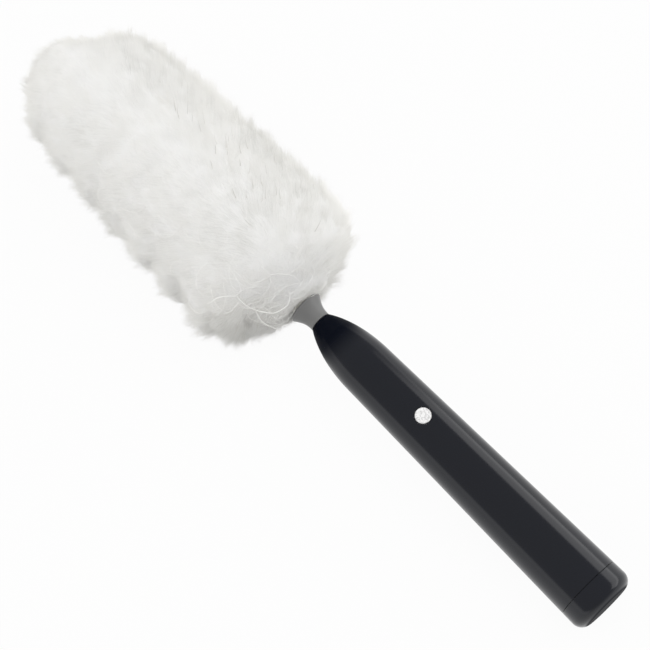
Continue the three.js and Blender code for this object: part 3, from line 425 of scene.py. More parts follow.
class Finish(Nodes):
    """A material made of nodes round one Principled shader. Constants are named after its sockets."""

    def __init__(self, name, **constants):
        self.material = bpy.data.materials.new(name)
        self.material.use_nodes = True
        super().__init__(self.material.node_tree)
        self.shader = self.nodes["Principled BSDF"]
        for name, value in constants.items():
            socket = name.replace("_", " ").title().replace("Ior", "IOR")
            self.shader.inputs[socket].default_value = value

    def place(self, stretch=(1.0, 1.0, 1.0)):
        """Object coordinates turned into the tool's own directions and stretched."""
        here = self.node("ShaderNodeTexCoord", output="Object")
        level = self.node("ShaderNodeMapping", {"vector_type": "POINT"},
                          {"Vector": here, "Rotation": (0.0, TILT, 0.0)})
        return self.node("ShaderNodeVectorMath", {"operation": "MULTIPLY"}, {0: level, 1: stretch})

    def noise(self, scale, detail=3.0, stretch=(1.0, 1.0, 1.0), roughness=0.55):
        """A cloudy value around one half. Scale counts features in a metre."""
        return self.node("ShaderNodeTexNoise", {"noise_dimensions": "3D"},
                         {"Vector": self.place(stretch), "Scale": scale, "Detail": detail,
                          "Roughness": roughness})

    def along(self):
        """The place along the tool, from its flat base."""
        return self.node("ShaderNodeSeparateXYZ", inputs={0: self.place()}) - float(ORIGIN @ AXIS)

    def wear(self, colour=None, roughness=None, height=None, depth=0.0, strength=1.0):
        """Feeds the shader what varies over the surface: its colour, its roughness and its relief."""
        if colour is not None:
            self.feed(self.shader.inputs["Base Color"], colour)
        if roughness is not None:
            self.feed(self.shader.inputs["Roughness"], roughness)
        if height is not None:
            relief = self.node("ShaderNodeBump", inputs={"Strength": strength, "Distance": depth,
                                                          "Height": height})
            self.feed(self.shader.inputs["Normal"], relief)
        return self.material


def scaled(colour, by):
    """A colour made lighter or darker."""
    return tuple(min(1.0, part * by) for part in colour)


def black_gloss(colour, nose):
    """Black moulding under a clear gloss coat that thins out towards the nose's rim and on the base, with
    faint smudges and the slight waviness of a moulded skin. nose is the rim's place along the tool."""
    finish = Finish("black_gloss", specular_ior_level=0.0, coat_roughness=0.16)
    smudge = finish.noise(26.0, detail=4.0)
    streak = finish.noise(420.0, stretch=(0.06, 1.0, 1.0))
    skin_wave = finish.noise(190.0, detail=1.0)
    body = finish.mix(smudge, scaled(colour, 0.82), scaled(colour, 1.2))
    along = finish.along()
    bare_nose = finish.between(along, nose - 28 * MM, nose - 12 * MM)
    bare_base = finish.between(along, 0.2 * MM, 1.2 * MM, 1.0, 0.0)
    coat = 1.0 - 0.85 * (bare_nose + bare_base) - 0.04 * smudge
    finish.feed(finish.shader.inputs["Coat Weight"], coat)
    return finish.wear(body, 0.3 + 0.1 * streak, skin_wave, depth=0.02 * MM, strength=0.25)


def grey_satin(colour):
    """Satin grey moulding with a fine spark-eroded grain."""
    finish = Finish("grey_satin", specular_ior_level=0.4)
    cloud = finish.noise(70.0)
    grain = finish.noise(2600.0, detail=2.0)
    body = finish.mix(cloud, scaled(colour, 0.9), scaled(colour, 1.1))
    return finish.wear(body, 0.3 + 0.1 * grain, grain, depth=0.03 * MM, strength=0.3)


def white_gloss(colour):
    """White button with fine grey flecks under a clear gloss."""
    finish = Finish("white_gloss", coat_weight=0.3, coat_roughness=0.08)
    fleck = finish.noise(900.0, detail=2.0, roughness=0.7)
    cloud = finish.noise(300.0)
    body = finish.mix(finish.between(fleck, 0.44, 0.62), scaled(colour, 1.02), scaled(colour, 0.72))
    return finish.wear(body, 0.24 + 0.14 * cloud, fleck, depth=0.03 * MM, strength=0.3)


def moulded_plastic(name, colour, shine=0.45):
    """Plain moulded plastic: mottled a little, with a fine grain and rubbed patches."""
    finish = Finish(name, specular_ior_level=0.45)
    cloud = finish.noise(90.0, detail=4.0)
    grain = finish.noise(3200.0, detail=1.0)
    body = finish.mix(cloud, scaled(colour, 0.86), scaled(colour, 1.14))
    rubbed = finish.between(cloud, 0.5, 0.7)
    return finish.wear(body, shine + 0.1 * grain - 0.1 * rubbed, grain, depth=0.04 * MM, strength=0.4)


def drawn_metal(name, colour, shine=0.3):
    """Metal drawn or turned along the tool: fine lengthwise lines, a mottled tarnish and dull patches."""
    finish = Finish(name, metallic=1.0)
    lines = finish.noise(5200.0, detail=2.0, stretch=(0.03, 1.0, 1.0))
    tarnish = finish.noise(160.0, detail=5.0, roughness=0.65)
    dull = finish.between(tarnish, 0.45, 0.75)
    body = finish.mix(dull, colour, scaled(colour, 0.68))
    return finish.wear(body, shine + 0.14 * lines + 0.16 * dull, lines, depth=0.02 * MM, strength=0.3)


def cell_jacket(name, cell):
    """Plain jacket of a dry cell: graphite with a pale band at its upper end, and bare metal end faces."""
    finish = Finish(name, metallic=0.55)
    low, high = span(cell)
    band = finish.between(finish.along(), float(low[0]), float(high[0]))
    facing = finish.node("ShaderNodeVectorMath", {"operation": "DOT_PRODUCT"},
                         {0: finish.node("ShaderNodeNewGeometry", output="Normal"), 1: tuple(AXIS)},
                         output="Value")
    face = finish.between(facing * facing, 0.6, 0.9)
    cloud = finish.noise(120.0, detail=4.0)
    jacket = finish.ramp(band, [(0.0, (0.03, 0.032, 0.036)), (0.68, (0.035, 0.037, 0.04)),
                                (0.7, (0.46, 0.42, 0.34)), (1.0, (0.5, 0.46, 0.38))])
    body = finish.mix(face, jacket, (0.58, 0.58, 0.58))
    return finish.wear(body, 0.26 + 0.16 * cloud, cloud, depth=0.03 * MM, strength=0.3)


def circuit_board():
    """Board with copper runs showing as lighter lines under green solder mask."""
    finish = Finish("board", specular_ior_level=0.5)
    runs = finish.node("ShaderNodeTexVoronoi", {"feature": "DISTANCE_TO_EDGE", "distance": "MANHATTAN"},
                       {"Vector": finish.place(), "Scale": 420.0}, output="Distance")
    line = finish.between(runs, 0.06, 0.12)
    cloud = finish.noise(200.0)
    body = finish.mix(line, (0.03, 0.17, 0.075), (0.012, 0.085, 0.04))
    return finish.wear(body, 0.28 + 0.14 * cloud, line, depth=0.03 * MM, strength=0.4)


def wire_cover(name, colour):
    """Soft vinyl round a wire: dusty, with faint draw lines."""
    finish = Finish(name, specular_ior_level=0.4)
    dust = finish.noise(500.0, detail=4.0)
    lines = finish.noise(3000.0, stretch=(0.05, 1.0, 1.0))
    body = finish.mix(finish.between(dust, 0.5, 0.75), colour, scaled(colour, 1.5))
    return finish.wear(body, 0.38 + 0.2 * dust, lines, depth=0.03 * MM, strength=0.3)


def woven_sleeve():
    """Off-white webbing: two crossing sets of threads."""
    finish = Finish("webbing", specular_ior_level=0.2)

    def threads(direction, stretch):
        return finish.node("ShaderNodeTexWave", {"bands_direction": direction},
                           {"Vector": finish.place(stretch), "Scale": 240.0, "Distortion": 0.6,
                            "Detail": 1.0}, output="Fac")

    weave = threads("X", (1.0, 1.0, 1.0)) * threads("DIAGONAL", (0.2, 1.0, 1.0))
    body = finish.mix(weave, (0.52, 0.5, 0.46), (0.78, 0.76, 0.72))
    return finish.wear(body, 0.75 + 0.15 * weave, weave, depth=0.2 * MM, strength=0.8)


def strand_fibre(tip, root):
    """Fine fibre. Its own map holds the way from root to tip in u and the strand's tone in v."""
    finish = Finish("fluff_strands", specular_ior_level=0.15, roughness=0.7)
    where = finish.node("ShaderNodeUVMap", {"uv_map": "OFBake"})
    way = finish.node("ShaderNodeSeparateXYZ", inputs={0: where})
    body = finish.mix(finish.between(way, 0.0, 0.75), root, tip)
    # Tone darkens a strand by chance, and low tones also carry painted shade for strands set where shadow falls
    shade = finish.ramp(way.output("Y"), [
        (0.0, (0.7, 0.685, 0.665)), (0.035, (0.8, 0.8, 0.79)), (0.05, (0.8, 0.8, 0.79)),
        (0.3, (0.92, 0.92, 0.92)), (0.5, (0.97, 0.97, 0.97)), (1.0, (1.0, 1.0, 1.0))])
    return finish.wear(finish.mix(1.0, body, shade, "MULTIPLY"))


def packed_fibre(tip, root, painted_shade_centre):
    """Fibre packed under the loose strands: soft clouds with streaks that run with the strands, and painted
    shade that greys it round a spot on the head's left near the neck."""
    finish = Finish("fluff_core", specular_ior_level=0.1, subsurface_weight=0.8, subsurface_scale=0.008,
                    subsurface_radius=(1.0, 1.0, 1.0))
    cloud = finish.noise(60.0, detail=4.0)
    streak = finish.noise(1100.0, detail=3.0, stretch=(0.2, 1.0, 1.0))
    here = finish.node("ShaderNodeTexCoord", output="Object")
    far = finish.node("ShaderNodeVectorMath", {"operation": "DISTANCE"}, {0: here, 1: painted_shade_centre},
                      output="Value")
    body = finish.mix(cloud * 0.5 + streak * 0.5, scaled(root, 0.96), tip)
    # Painted shade: the fibre turns greyer towards the spot on the head's left near the neck
    body = finish.mix(finish.between(far, 6 * MM, 34 * MM), scaled(root, 0.8), body)
    return finish.wear(body, 0.8 + 0.1 * cloud, streak, depth=0.8 * MM, strength=0.6)


# Handle

def handle_radius(h, x):
    """Radius of the handle's side: it falls in a straight line from the base's edge to the shoulder."""
    way = (x - h.edge_round) / (h.long - h.nose_long - h.edge_round)
    return h.base_radius + (h.shoulder_radius - h.base_radius) * way


def nose_curve(h, steps):
    """Outline of the nose: a cubic curve that leaves the shoulder along the handle's taper, falls ever
    more steeply and ends at the rim."""
    lead, tail = 16 * MM, 8 * MM
    taper, fall = 0.0125, 0.62
    start = np.array([h.long - h.nose_long, h.shoulder_radius])
    end = np.array([h.long, h.nose_radius])
    return cubic(start, start + [lead, -taper * lead], end + [-tail, fall * tail], end, steps)


def skin(x, radius, v, half_seam):
    """A half shell's skin: v runs from -1 to 1 across the half turn that ends half a seam before the
    parting plane, x along the tool."""
    angle = v * np.arccos(half_seam / radius)
    return np.stack(np.broadcast_arrays(x, radius * np.sin(angle), radius * np.cos(angle)), axis=-1)


def holed_skin(radius_at, xs, vs, centre, hole, half_seam, rings=7):
    """A stretch of skin with a round hole through it along z. Rings pass from the hole's edge to the
    stretch's border, each border point straight out from a point of the edge. Returns the patch and the
    edge's angles round the hole."""
    x = np.concatenate([xs[:-1], np.full(len(vs) - 1, xs[-1]), xs[:0:-1], np.full(len(vs) - 1, xs[0])])
    v = np.concatenate([np.full(len(xs) - 1, vs[0]), vs[:-1], np.full(len(xs) - 1, vs[-1]), vs[:0:-1]])
    border = skin(x, radius_at(x), v, half_seam)
    reach = np.abs(border[:, :2] - centre).max(axis=0)
    angle = np.arctan2((border[:, 1] - centre[1]) / reach[1], (border[:, 0] - centre[0]) / reach[0])
    edge_x = centre[0] + hole * np.cos(angle)
    edge_y = centre[1] + hole * np.sin(angle)
    edge_v = np.arcsin(edge_y / radius_at(edge_x)) / np.arccos(half_seam / radius_at(edge_x))
    way = (np.linspace(0.0, 1.0, rings + 1) ** 1.4)[:, None]
    x, v = (1 - way) * edge_x + way * x, (1 - way) * edge_v + way * v
    return patch(skin(x, radius_at(x), v, half_seam), wrap=True), angle


def hole_rings(centre, angle, rings):
    """Rings round a hole, each given as radius, height, skin and drop. A height of None means the height
    of the skin there, less the drop."""
    rows = []
    for radius, height, radius_of, drop in rings:
        x = centre[0] + radius * np.cos(angle)
        y = centre[1] + radius * np.sin(angle)
        z = np.full_like(x, height) if height is not None else np.sqrt(radius_of(x) ** 2 - y ** 2) - drop
        rows.append(np.stack([x, y, z], axis=-1))
    return np.stack(rows)


def softened(hole, size, radius_of, steps=4):
    """Rings of a hole's rounded edge, from the skin down into the hole."""
    bends = np.linspace(0.0, np.pi / 2, steps + 1)
    return [(hole + size * (1 - math.sin(b)), None, radius_of, size * (1 - math.cos(b))) for b in bends]


def half_shell(h, x_knots, v_knots, x_steps, v_steps, holes, lower=False):
    """One half of the handle as a closed wall: outer and inner skin over the same grid, strips between
    them along every edge, and a wall through each hole. Holes are keyed by their stretch of the grid and
    give centre, outer and inner radius and the rings between the two skins."""
    half = h.seam / 2

    def outer_at(x):
        return handle_radius(h, x)

    def inner_at(x):
        return handle_radius(h, x) - h.wall

    xs = [np.linspace(a, b, n + 1) for a, b, n in zip(x_knots, x_knots[1:], x_steps)]
    vs = [np.linspace(a, b, n + 1) for a, b, n in zip(v_knots, v_knots[1:], v_steps)]
    nose = nose_curve(h, 40)
    bush_seat, rim_wall = 12.5 * MM, 1.2 * MM
    nose_inner = np.where(nose[:, 0] < h.long - bush_seat, nose[:, 1] - h.wall, h.nose_radius - rim_wall)
    patches = []
    for i, x in enumerate(xs):
        for j, v in enumerate(vs):
            if (i, j) not in holes:
                for radius_at in (outer_at, inner_at):
                    patches.append(patch(skin(x[:, None], radius_at(x)[:, None], v[None, :], half)))
                continue
            centre, outer_hole, inner_hole, rings = holes[i, j]
            top, angle = holed_skin(outer_at, x, v, centre, outer_hole + h.edge_soften, half)
            bottom, inner_angle = holed_skin(inner_at, x, v, centre, inner_hole, half)
            wall = hole_rings(centre, angle, softened(outer_hole, h.edge_soften, outer_at) + rings)
            foot = hole_rings(centre, inner_angle, [(inner_hole, None, inner_at, 0.0)])
            patches += [top, bottom, patch(np.concatenate([wall, foot]), wrap=True)]
    all_v = np.concatenate([vs[0]] + [v[1:] for v in vs[1:]])
    patches.append(patch(skin(nose[:, :1], nose[:, 1:], all_v[None, :], half)))
    patches.append(patch(skin(nose[:, :1], nose_inner[:, None], all_v[None, :], half)))
    all_x = np.concatenate([xs[0]] + [x[1:] for x in xs[1:]] + [nose[1:, 0]])
    side = all_x[:len(all_x) - len(nose) + 1]
    outer = np.concatenate([outer_at(side), nose[1:, 1]])
    inner = np.concatenate([inner_at(side), nose_inner[1:]])
    for v in (-1.0, 1.0):
        patches.append(patch(np.stack([skin(all_x, outer, v, half), skin(all_x, inner, v, half)])))
    for k in (0, -1):
        patches.append(patch(np.stack([skin(all_x[k], outer[k], all_v, half),
                                       skin(all_x[k], inner[k], all_v, half)])))
    if lower:
        patches = [(points * [1, 1, -1], quads) for points, quads in patches]
    return patches


class DUSTER_OT_handle_shells(bpy.types.Operator):
    """Make the two half shells of the handle, with the button's hole and the wells of the shell screws"""
    bl_idname = "duster.handle_shells"
    bl_label = "Handle shells"

    def execute(self, context):
        settings = context.scene.duster
        h, b = settings.handle, settings.button
        finish = black_gloss(settings.colours.handle, h.long)
        shoulder = h.long - h.nose_long
        rear = h.cap_long + h.seam
        button_x = middle("push_button")[0]
        hole = b.radius + b.gap
        room = 9 * MM  # of the grid's stretch on each side of the button
        front = half_shell(
            h, [rear, button_x - room, button_x + room, shoulder], [-1.0, -0.36, 0.36, 1.0],
            [36, 16, 12], [14, 16, 14],
            {(1, 1): ((button_x, 0.0), hole, hole,
                      [(hole, None, lambda x: handle_radius(h, x) - h.wall, 0.0)])})
        solid("handle_front_skin", front, "handle", finish, ["handle_front_shell"])

        screws = np.array([middle(screw) for screw in SCREWS])
        rows = sorted(set(screws[:, 0].round(5).tolist()))
        aside = abs(screws[0, 1])
        seat = -span(SCREWS[0])[0][2] - 1.9 * MM
        bore, parting = 1.4 * MM, h.seam / 2
        rings = [(b.screw_well, seat, None, 0.0), (bore, seat, None, 0.0), (bore, parting, None, 0.0),
                 (b.screw_boss, parting, None, 0.0)]
        room = 5.5 * MM
        wells = {(1 + 2 * i, 1 + 2 * j): ((x, y), b.screw_well, b.screw_boss, rings)
                 for i, x in enumerate(rows) for j, y in enumerate((-aside, aside))}
        x_knots = [rear, rows[0] - room, rows[0] + room, rows[1] - room, rows[1] + room, shoulder]
        lower = half_shell(h, x_knots, [-1.0, -0.82, -0.2, 0.2, 0.82, 1.0], [30, 12, 14, 12, 6],
                           [6, 16, 10, 16, 6], wells, lower=True)
        solid("handle_rear_skin", lower, "handle", finish, ["handle_rear_shell"])
        return {"FINISHED"}


class DUSTER_OT_end_cap(bpy.types.Operator):
    """Make the end cap with its rounded base and the spigot that fits into the handle"""
    bl_idname = "duster.end_cap"
    bl_label = "End cap"

    def execute(self, context):
        settings = context.scene.duster
        h = settings.handle
        spigot_end = span("end_cap")[1][0]
        seam_radius = handle_radius(h, h.cap_long)
        spigot = handle_radius(h, spigot_end) - h.wall - h.seam
        spigot_wall, floor, soft = 1.4 * MM, 3 * MM, h.edge_soften
        inner = spigot - spigot_wall
        arc = np.linspace(np.pi, np.pi / 2, 25)
        face_radius = h.base_radius - h.edge_round
        edge = np.stack([h.edge_round + h.edge_round * np.cos(arc),
                         face_radius + h.edge_round * np.sin(arc)], axis=-1)
        sides = rounded([(*edge[-1], 0), (h.cap_long, seam_radius, soft), (h.cap_long, spigot, 0),
                         (spigot_end, spigot, 2 * soft), (spigot_end, inner, soft),
                         (floor, inner, spigot_wall), (floor, 0.0, 0)])
        rings = np.linspace(0.0, 1.0, 5)[:-1, None] * edge[0]
        steps = np.linspace(edge[-1], sides[1], 7)[1:-1]
        outline = np.concatenate([rings, edge, steps, sides[1:]])
        solid("end_cap_shell", [turned(outline, 128)], "end_cap",
              black_gloss(settings.colours.handle, h.long), ["end_cap"])
        return {"FINISHED"}


class DUSTER_OT_push_button(bpy.types.Operator):
    """Make the push button, a softly crowned disc with a flange under the shell"""
    bl_idname = "duster.push_button"
    bl_label = "Push button"

    def execute(self, context):
        settings = context.scene.duster
        b = settings.button
        low, high = span("push_button")
        crown, soft, top_soft = 0.12 * MM, 0.2 * MM, 0.45 * MM
        flange_radius, flange_top = (high[0] - low[0]) / 2, low[2] + b.flange
        face, rim = 0.8 * b.radius, high[2] - crown
        side = rounded([(low[2], 0, 0), (low[2], flange_radius, soft), (flange_top, flange_radius, soft),
                        (flange_top, b.radius, 0), (rim, b.radius, top_soft), (rim, face, 0)])
        across = np.linspace(face, 0.0, 9)[1:]
        dome = np.stack([high[2] - crown * (across / face) ** 2, across], axis=-1)
        outline = np.concatenate([side, dome])
        solid("button_cap", [turned_up(outline, middle("push_button")[0], 0.0)], "button",
              white_gloss(settings.colours.button), ["push_button"])
        return {"FINISHED"}


class DUSTER_OT_shell_screws(bpy.types.Operator):
    """Make the four shell screws, with domed heads and cross recesses"""
    bl_idname = "duster.shell_screws"
    bl_label = "Shell screws"

    def execute(self, context):
        settings = context.scene.duster
        head = settings.button.screw_head
        steel = drawn_metal("screw_steel", settings.colours.steel, 0.22)
        sides = 96
        head_height, shank = 1.6 * MM, 1.1 * MM
        slot_width, slot_reach, slot_depth = 0.34 * MM, 1.25 * MM, 0.7 * MM
        angle = full_turn(sides)
        way = np.linspace(0.0, 1.0, 30)[:, None]
        dome = (0.55 * way ** 2 + 0.35 * ramp_up(way, 0.85, 1.0)) * MM
        across, aside = head * way * np.cos(angle), head * way * np.sin(angle)
        slot = np.clip(1.5 - np.minimum(np.abs(across), np.abs(aside)) / slot_width, 0, 1)
        recess = slot * ramp_up(slot_reach - head * way, 0.0, 0.2 * MM)
        for n, screw in enumerate(SCREWS):
            low, high = span(screw)
            x, y, _ = middle(screw)
            height = low[2] + dome + slot_depth * recess
            top = patch(np.stack([x + across, y + aside, height], axis=-1), wrap=True)
            rim, seat, end = low[2] + dome[-1, 0], low[2] + head_height, high[2]
            outline = np.array([(rim, head), (seat, head), (seat, shank), (end - shank, shank), (end, 0)])
            solid(f"screw_{n + 1}", [top, turned_up(outline, x, y, sides)], "handle", steel,
                  [screw])
        return {"FINISHED"}


# Neck

class DUSTER_OT_neck_collar(bpy.types.Operator):
    """Make the neck collar: a spigot in the nose, a neck that flares to a rounded lip, and the bore"""
    bl_idname = "duster.neck_collar"
    bl_label = "Neck collar"

    def execute(self, context):
        settings = context.scene.duster
        c, soft = settings.collar, settings.handle.edge_soften
        start, end = span("neck_collar")[0][0], span("neck_collar")[1][0]
        gap, fit = 0.4 * MM, 0.3 * MM  # before the handle's nose, and round the shaft
        face = settings.handle.long + gap
        long, flared = end - face, c.lip_radius - c.neck_radius
        arc = np.linspace(math.radians(135), 0.0, 17)
        lip = np.stack([end - c.lip_round + c.lip_round * np.cos(arc),
                        c.lip_radius - c.lip_round + c.lip_round * np.sin(arc)], axis=-1)
        neck = (face + 2 * soft, c.neck_radius)
        flare = cubic(neck, (face + 0.45 * long, c.neck_radius),
                      (face + 0.62 * long, c.neck_radius + 0.44 * flared), lip[0], 28)
        rear = rounded([(start, c.spigot - soft, 0), (start, c.spigot, soft), (face, c.spigot, 0),
                        (face, c.neck_radius, soft), (*neck, 0)])
        socket_radius, socket_x = 4.3 * MM, start + 9.5 * MM
        bore = c.shaft_radius + fit
        inside = np.array([(end, socket_radius), (socket_x, socket_radius), (socket_x, bore), (start, bore),
                           (start, c.spigot - soft)])
        outline = np.concatenate([rear[:-1], flare, lip[1:], inside])
        flat = np.full(len(outline), NO_FLAT)
        flat[-3:-1] = c.shaft_flat + fit
        solid("collar", [turned(outline, 128, flat)], "head", grey_satin(settings.colours.collar),
              ["neck_collar"])
        return {"FINISHED"}


class DUSTER_OT_drive_shaft(bpy.types.Operator):
    """Make the drive shaft, round in its bushes and with a driving flat towards the head"""
    bl_idname = "duster.drive_shaft"
    bl_label = "Drive shaft"

    def execute(self, context):
        settings = context.scene.duster
        c = settings.collar
        low, high = span("drive_shaft")
        flat_x = settings.handle.long - 4.2 * MM
        chamfer = 0.4 * MM
        radius, start, end = c.shaft_radius, low[0], high[0]
        outline = np.array([(start, 0), (start, radius), (flat_x, radius), (flat_x, radius),
                            (end - chamfer, radius), (end, radius - chamfer), (end, 0)])
        flat = np.array([NO_FLAT, NO_FLAT, NO_FLAT, c.shaft_flat, c.shaft_flat, c.shaft_flat - chamfer,
                         NO_FLAT])
        solid("shaft", [turned(outline, 72, flat)], "spindle",
              drawn_metal("shaft_steel", settings.colours.steel, 0.2), ["drive_shaft"])
        return {"FINISHED"}


# Fluffy head

SQUARENESS = 2.3  # power of the fluff's rounded ends; 2 is an ellipse
ROOT = 0.8 * MM  # how deep a strand's root lies in the packed fibre


def left_of(angle):
    """1 at the head's left side, falling to 0 at its top and its underside."""
    return np.clip(np.sin(angle), 0, 1)


def right_of(angle):
    """1 at the head's right side, falling to 0 at its top and its underside."""
    return np.clip(-np.sin(angle), 0, 1)


class Meridian:
    """The fluff's outline, from its neck to its tip, as tables over its own length: place, radius and
    outward direction. Past the tip it goes on down the other side, with negative radii."""

    def __init__(self, f):
        self.start = span("fluff")[0][0]
        self.end = span("spine_tip")[1][0] + f.past_spine
        turn = np.linspace(0.0, np.pi, 600)
        x = self.start + (self.end - self.start) * (1 - np.cos(turn)) / 2
        r = self.radius(f, x)
        s = np.concatenate([[0.0], np.cumsum(np.hypot(np.diff(x), np.diff(r)))])
        s, keep = np.unique(s, return_index=True)
        x, r = x[keep], r[keep]
        along, out = np.gradient(x, s), np.gradient(r, s)
        size = np.hypot(along, out)
        self.long = s[-1]
        past = slice(-2, -80, -1)
        self.s = np.concatenate([s, 2 * self.long - s[past]])
        self.x = np.concatenate([x, x[past]])
        self.r = np.concatenate([r, -r[past]])
        self.nx = np.concatenate([-out / size, (-out / size)[past]])
        self.nr = np.concatenate([along / size, (-along / size)[past]])
        area = np.concatenate([[0.0], np.cumsum((r[1:] + r[:-1]) / 2 * np.diff(s))])
        self.spread_s, self.spread = s, area / area[-1]

    def radius(self, f, x):
        """Radius over the tool's axis: a body that narrows with the square of the way to the tip, times a
        superellipse at each end."""
        def ending(far, size):
            return (1 - np.clip(1 - far / size, 0, 1) ** SQUARENESS) ** (1 / SQUARENESS)

        way = (x - self.start) / (self.end - self.start)
        body = f.rear_radius + (f.front_radius - f.rear_radius) * way ** 2
        return body * ending(x - self.start, f.rear_round) * ending(self.end - x, f.front_round)

    def at(self, table, s):
        """A table's values at ways along the outline."""
        return np.interp(s, self.s, table)

    def spread_to(self, share_of_area):
        """Ways along the outline that have a share of the surface behind them."""
        return np.interp(share_of_area, self.spread, self.spread_s)

    def points(self, s, angle, height):
        """Points at a way along the outline, an angle round the axis and a height over the outline."""
        x = self.at(self.x, s) + height * self.at(self.nx, s)
        r = self.at(self.r, s) + height * self.at(self.nr, s)
        return np.stack([x, r * np.sin(angle), r * np.cos(angle)], axis=-1)

    def outwards(self, s, angle):
        """Outward directions at a way along the outline and an angle round the axis."""
        nr = self.at(self.nr, s)
        return np.stack([self.at(self.nx, s), nr * np.sin(angle), nr * np.cos(angle)], axis=-1)


def above_floor(points, lift, soft=1.2 * MM):
    """Row points pressed up from the floor: far over it they stay, near it they ease to a lift over it."""
    clear = 60.0  # times the softness over the lift, where nothing changes any more
    over = (points[..., 2] - lift) / soft
    eased = np.logaddexp(0.0, np.minimum(over, clear)) + np.maximum(over - clear, 0)
    pressed = points.copy()
    pressed[..., 2] = lift + soft * eased
    return pressed


def tuft_centres(f, outline):
    """Ways along, angles and tones of the tufts. They stand in rows round the head, a tuft's spacing apart,
    each row shifted by half a tuft, and every tuft is a little out of line, least on the head's left."""
    rng = np.random.default_rng(f.seed)
    rows = math.ceil(outline.long / f.tuft)
    line = (np.arange(rows) + 0.5) * outline.long / rows
    count = np.maximum(3, np.round(2 * np.pi * outline.at(outline.r, line) / f.tuft)).astype(int)
    row = np.repeat(np.arange(rows), count)
    place = np.arange(len(row)) - np.repeat(np.cumsum(count) - count, count)
    turn = 2 * np.pi * (place + row % 2 / 2 + rng.uniform(-0.4, 0.4, len(row))) / count[row]
    loose = 0.4 - 0.32 * left_of(turn)
    along = line[row] + (loose * rng.uniform(-1, 1, len(row)) - 0.45) * f.tuft
    return along, turn, rng.uniform(0, 1, len(row))


def smoothed(grid, times):
    """A grid of values along and round the head, each time averaged with its neighbours by 1, 2, 1."""
    for _ in range(times):
        grid = (np.roll(grid, 1, axis=1) + 2 * grid + np.roll(grid, -1, axis=1)) / 4
        ends = np.concatenate([grid[:1], grid, grid[-1:]])
        grid = (ends[:-2] + 2 * grid + ends[2:]) / 4
    return grid


class Cloud:
    """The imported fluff's surface on a grid of ways along its outline and angles round it: its height over
    the outline, the tones and the rears of its tufts, and clumps in which its strands stand higher."""

    def __init__(self, f):
        self.outline = Meridian(f)
        self.rows, self.columns = 250, 372
        ways = np.linspace(0.0, self.outline.long, self.rows)
        self.s, self.angle = np.meshgrid(ways, full_turn(self.columns)[0], indexing="ij")
        self.height, self.tone, self.rear = self.lobes(f)
        clumps = smoothed(np.random.default_rng(f.seed + 4).normal(size=self.s.shape), 4)
        self.clumps = clumps / clumps.std()

    def lobes(self, f):
        """Heights, tones and shares of a tuft's rear on the grid. Each place belongs to the tuft whose
        centre is nearest. A tuft is a dome with its top towards the neck, so it rises steeply behind its
        neighbour and falls away towards the tip. The fluff stands out more to its right, except at the
        tip's corner, its tufts are deeper on its left, and it swells round the collar's lip."""
        outline, s, angle, shape = self.outline, self.s.ravel(), self.angle.ravel(), self.s.shape
        centre_s, centre_angle, tone = tuft_centres(f, outline)
        here, there = outline.points(s, angle, 0.0), outline.points(centre_s, centre_angle, 0.0)
        far = (here ** 2).sum(axis=1)[:, None] + (there ** 2).sum(axis=1)[None, :] - 2 * here @ there.T
        tuft = far.argmin(axis=1)
        ahead = (s - centre_s[tuft]) / f.tuft
        turn = (angle - centre_angle[tuft] + np.pi) % (2 * np.pi) - np.pi
        aside = turn * outline.at(outline.r, s) / f.tuft
        dome = 1 - ((ahead + 0.25) / 0.75) ** 2 - (aside / 0.85) ** 2
        swell = smoothed((np.clip(dome, -0.6, 1) - 0.4).reshape(shape), 8).ravel()
        rear = np.clip(0.5 - ahead, 0, 1)

        left, right, to_tip = left_of(angle), right_of(angle), outline.long - s
        corner = bump(to_tip, 36 * MM, 20 * MM)
        apex = bump(to_tip, 18 * MM, 12 * MM)
        tip = ramp_up(-to_tip, -55 * MM, -15 * MM)
        shoulder = bump(s, 42 * MM, 16 * MM)
        edge = bump(angle, 1.68, 0.42) * np.clip(1.5 - 1.4 * s / outline.long, 0.45, 1)
        height = f.lobe * (0.35 + 0.4 * left) * swell - f.pile / 2 - 1.2 * MM * tip
        height += right * (f.lean + (1.2 * shoulder - 13.2 * corner - 4.0 * apex) * MM)
        height += left * ((0.5 * corner + 5.5 * apex - 4.0) * MM + 0.9 * f.scallop * edge * (rear - 0.5))
        whole = np.clip(outline.at(outline.r, s) / (25 * MM), 0, 1)
        height = height * whole - 5.5 * MM * (1 - whole) * (s > outline.long / 2)
        height += 2.6 * MM * bump(s, 13.5 * MM, 5.2 * MM)
        return (smoothed(height.reshape(shape), 4), smoothed(tone[tuft].reshape(shape), 6),
                rear.reshape(shape))

    def read(self, values, s, angle):
        """Values of the grid at any ways along and angles, in straight lines between its points."""
        i = np.clip(s / self.outline.long, 0, 1) * (self.rows - 1.001)
        j = (angle / (2 * np.pi)) % 1.0 * self.columns
        i0, j0 = np.floor(i).astype(int), np.floor(j).astype(int) % self.columns
        j1 = (j0 + 1) % self.columns
        i, j = i - i0, j - np.floor(j)
        return ((values[i0, j0] * (1 - j) + values[i0, j1] * j) * (1 - i)
                + (values[i0 + 1, j0] * (1 - j) + values[i0 + 1, j1] * j) * i)

    def lines(self, along, angle, rise, lift):
        """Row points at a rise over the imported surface, kept a lift over the floor."""
        height = self.read(self.height, along, angle) + rise
        return above_floor(to_row(self.outline.points(along, angle, height)), lift)

    def shading(self, along, angle, lean):
        """Soft shading directions in the row frame: outwards, turned towards a lean."""
        return unit(self.outline.outwards(along, angle) @ BASIS + lean)


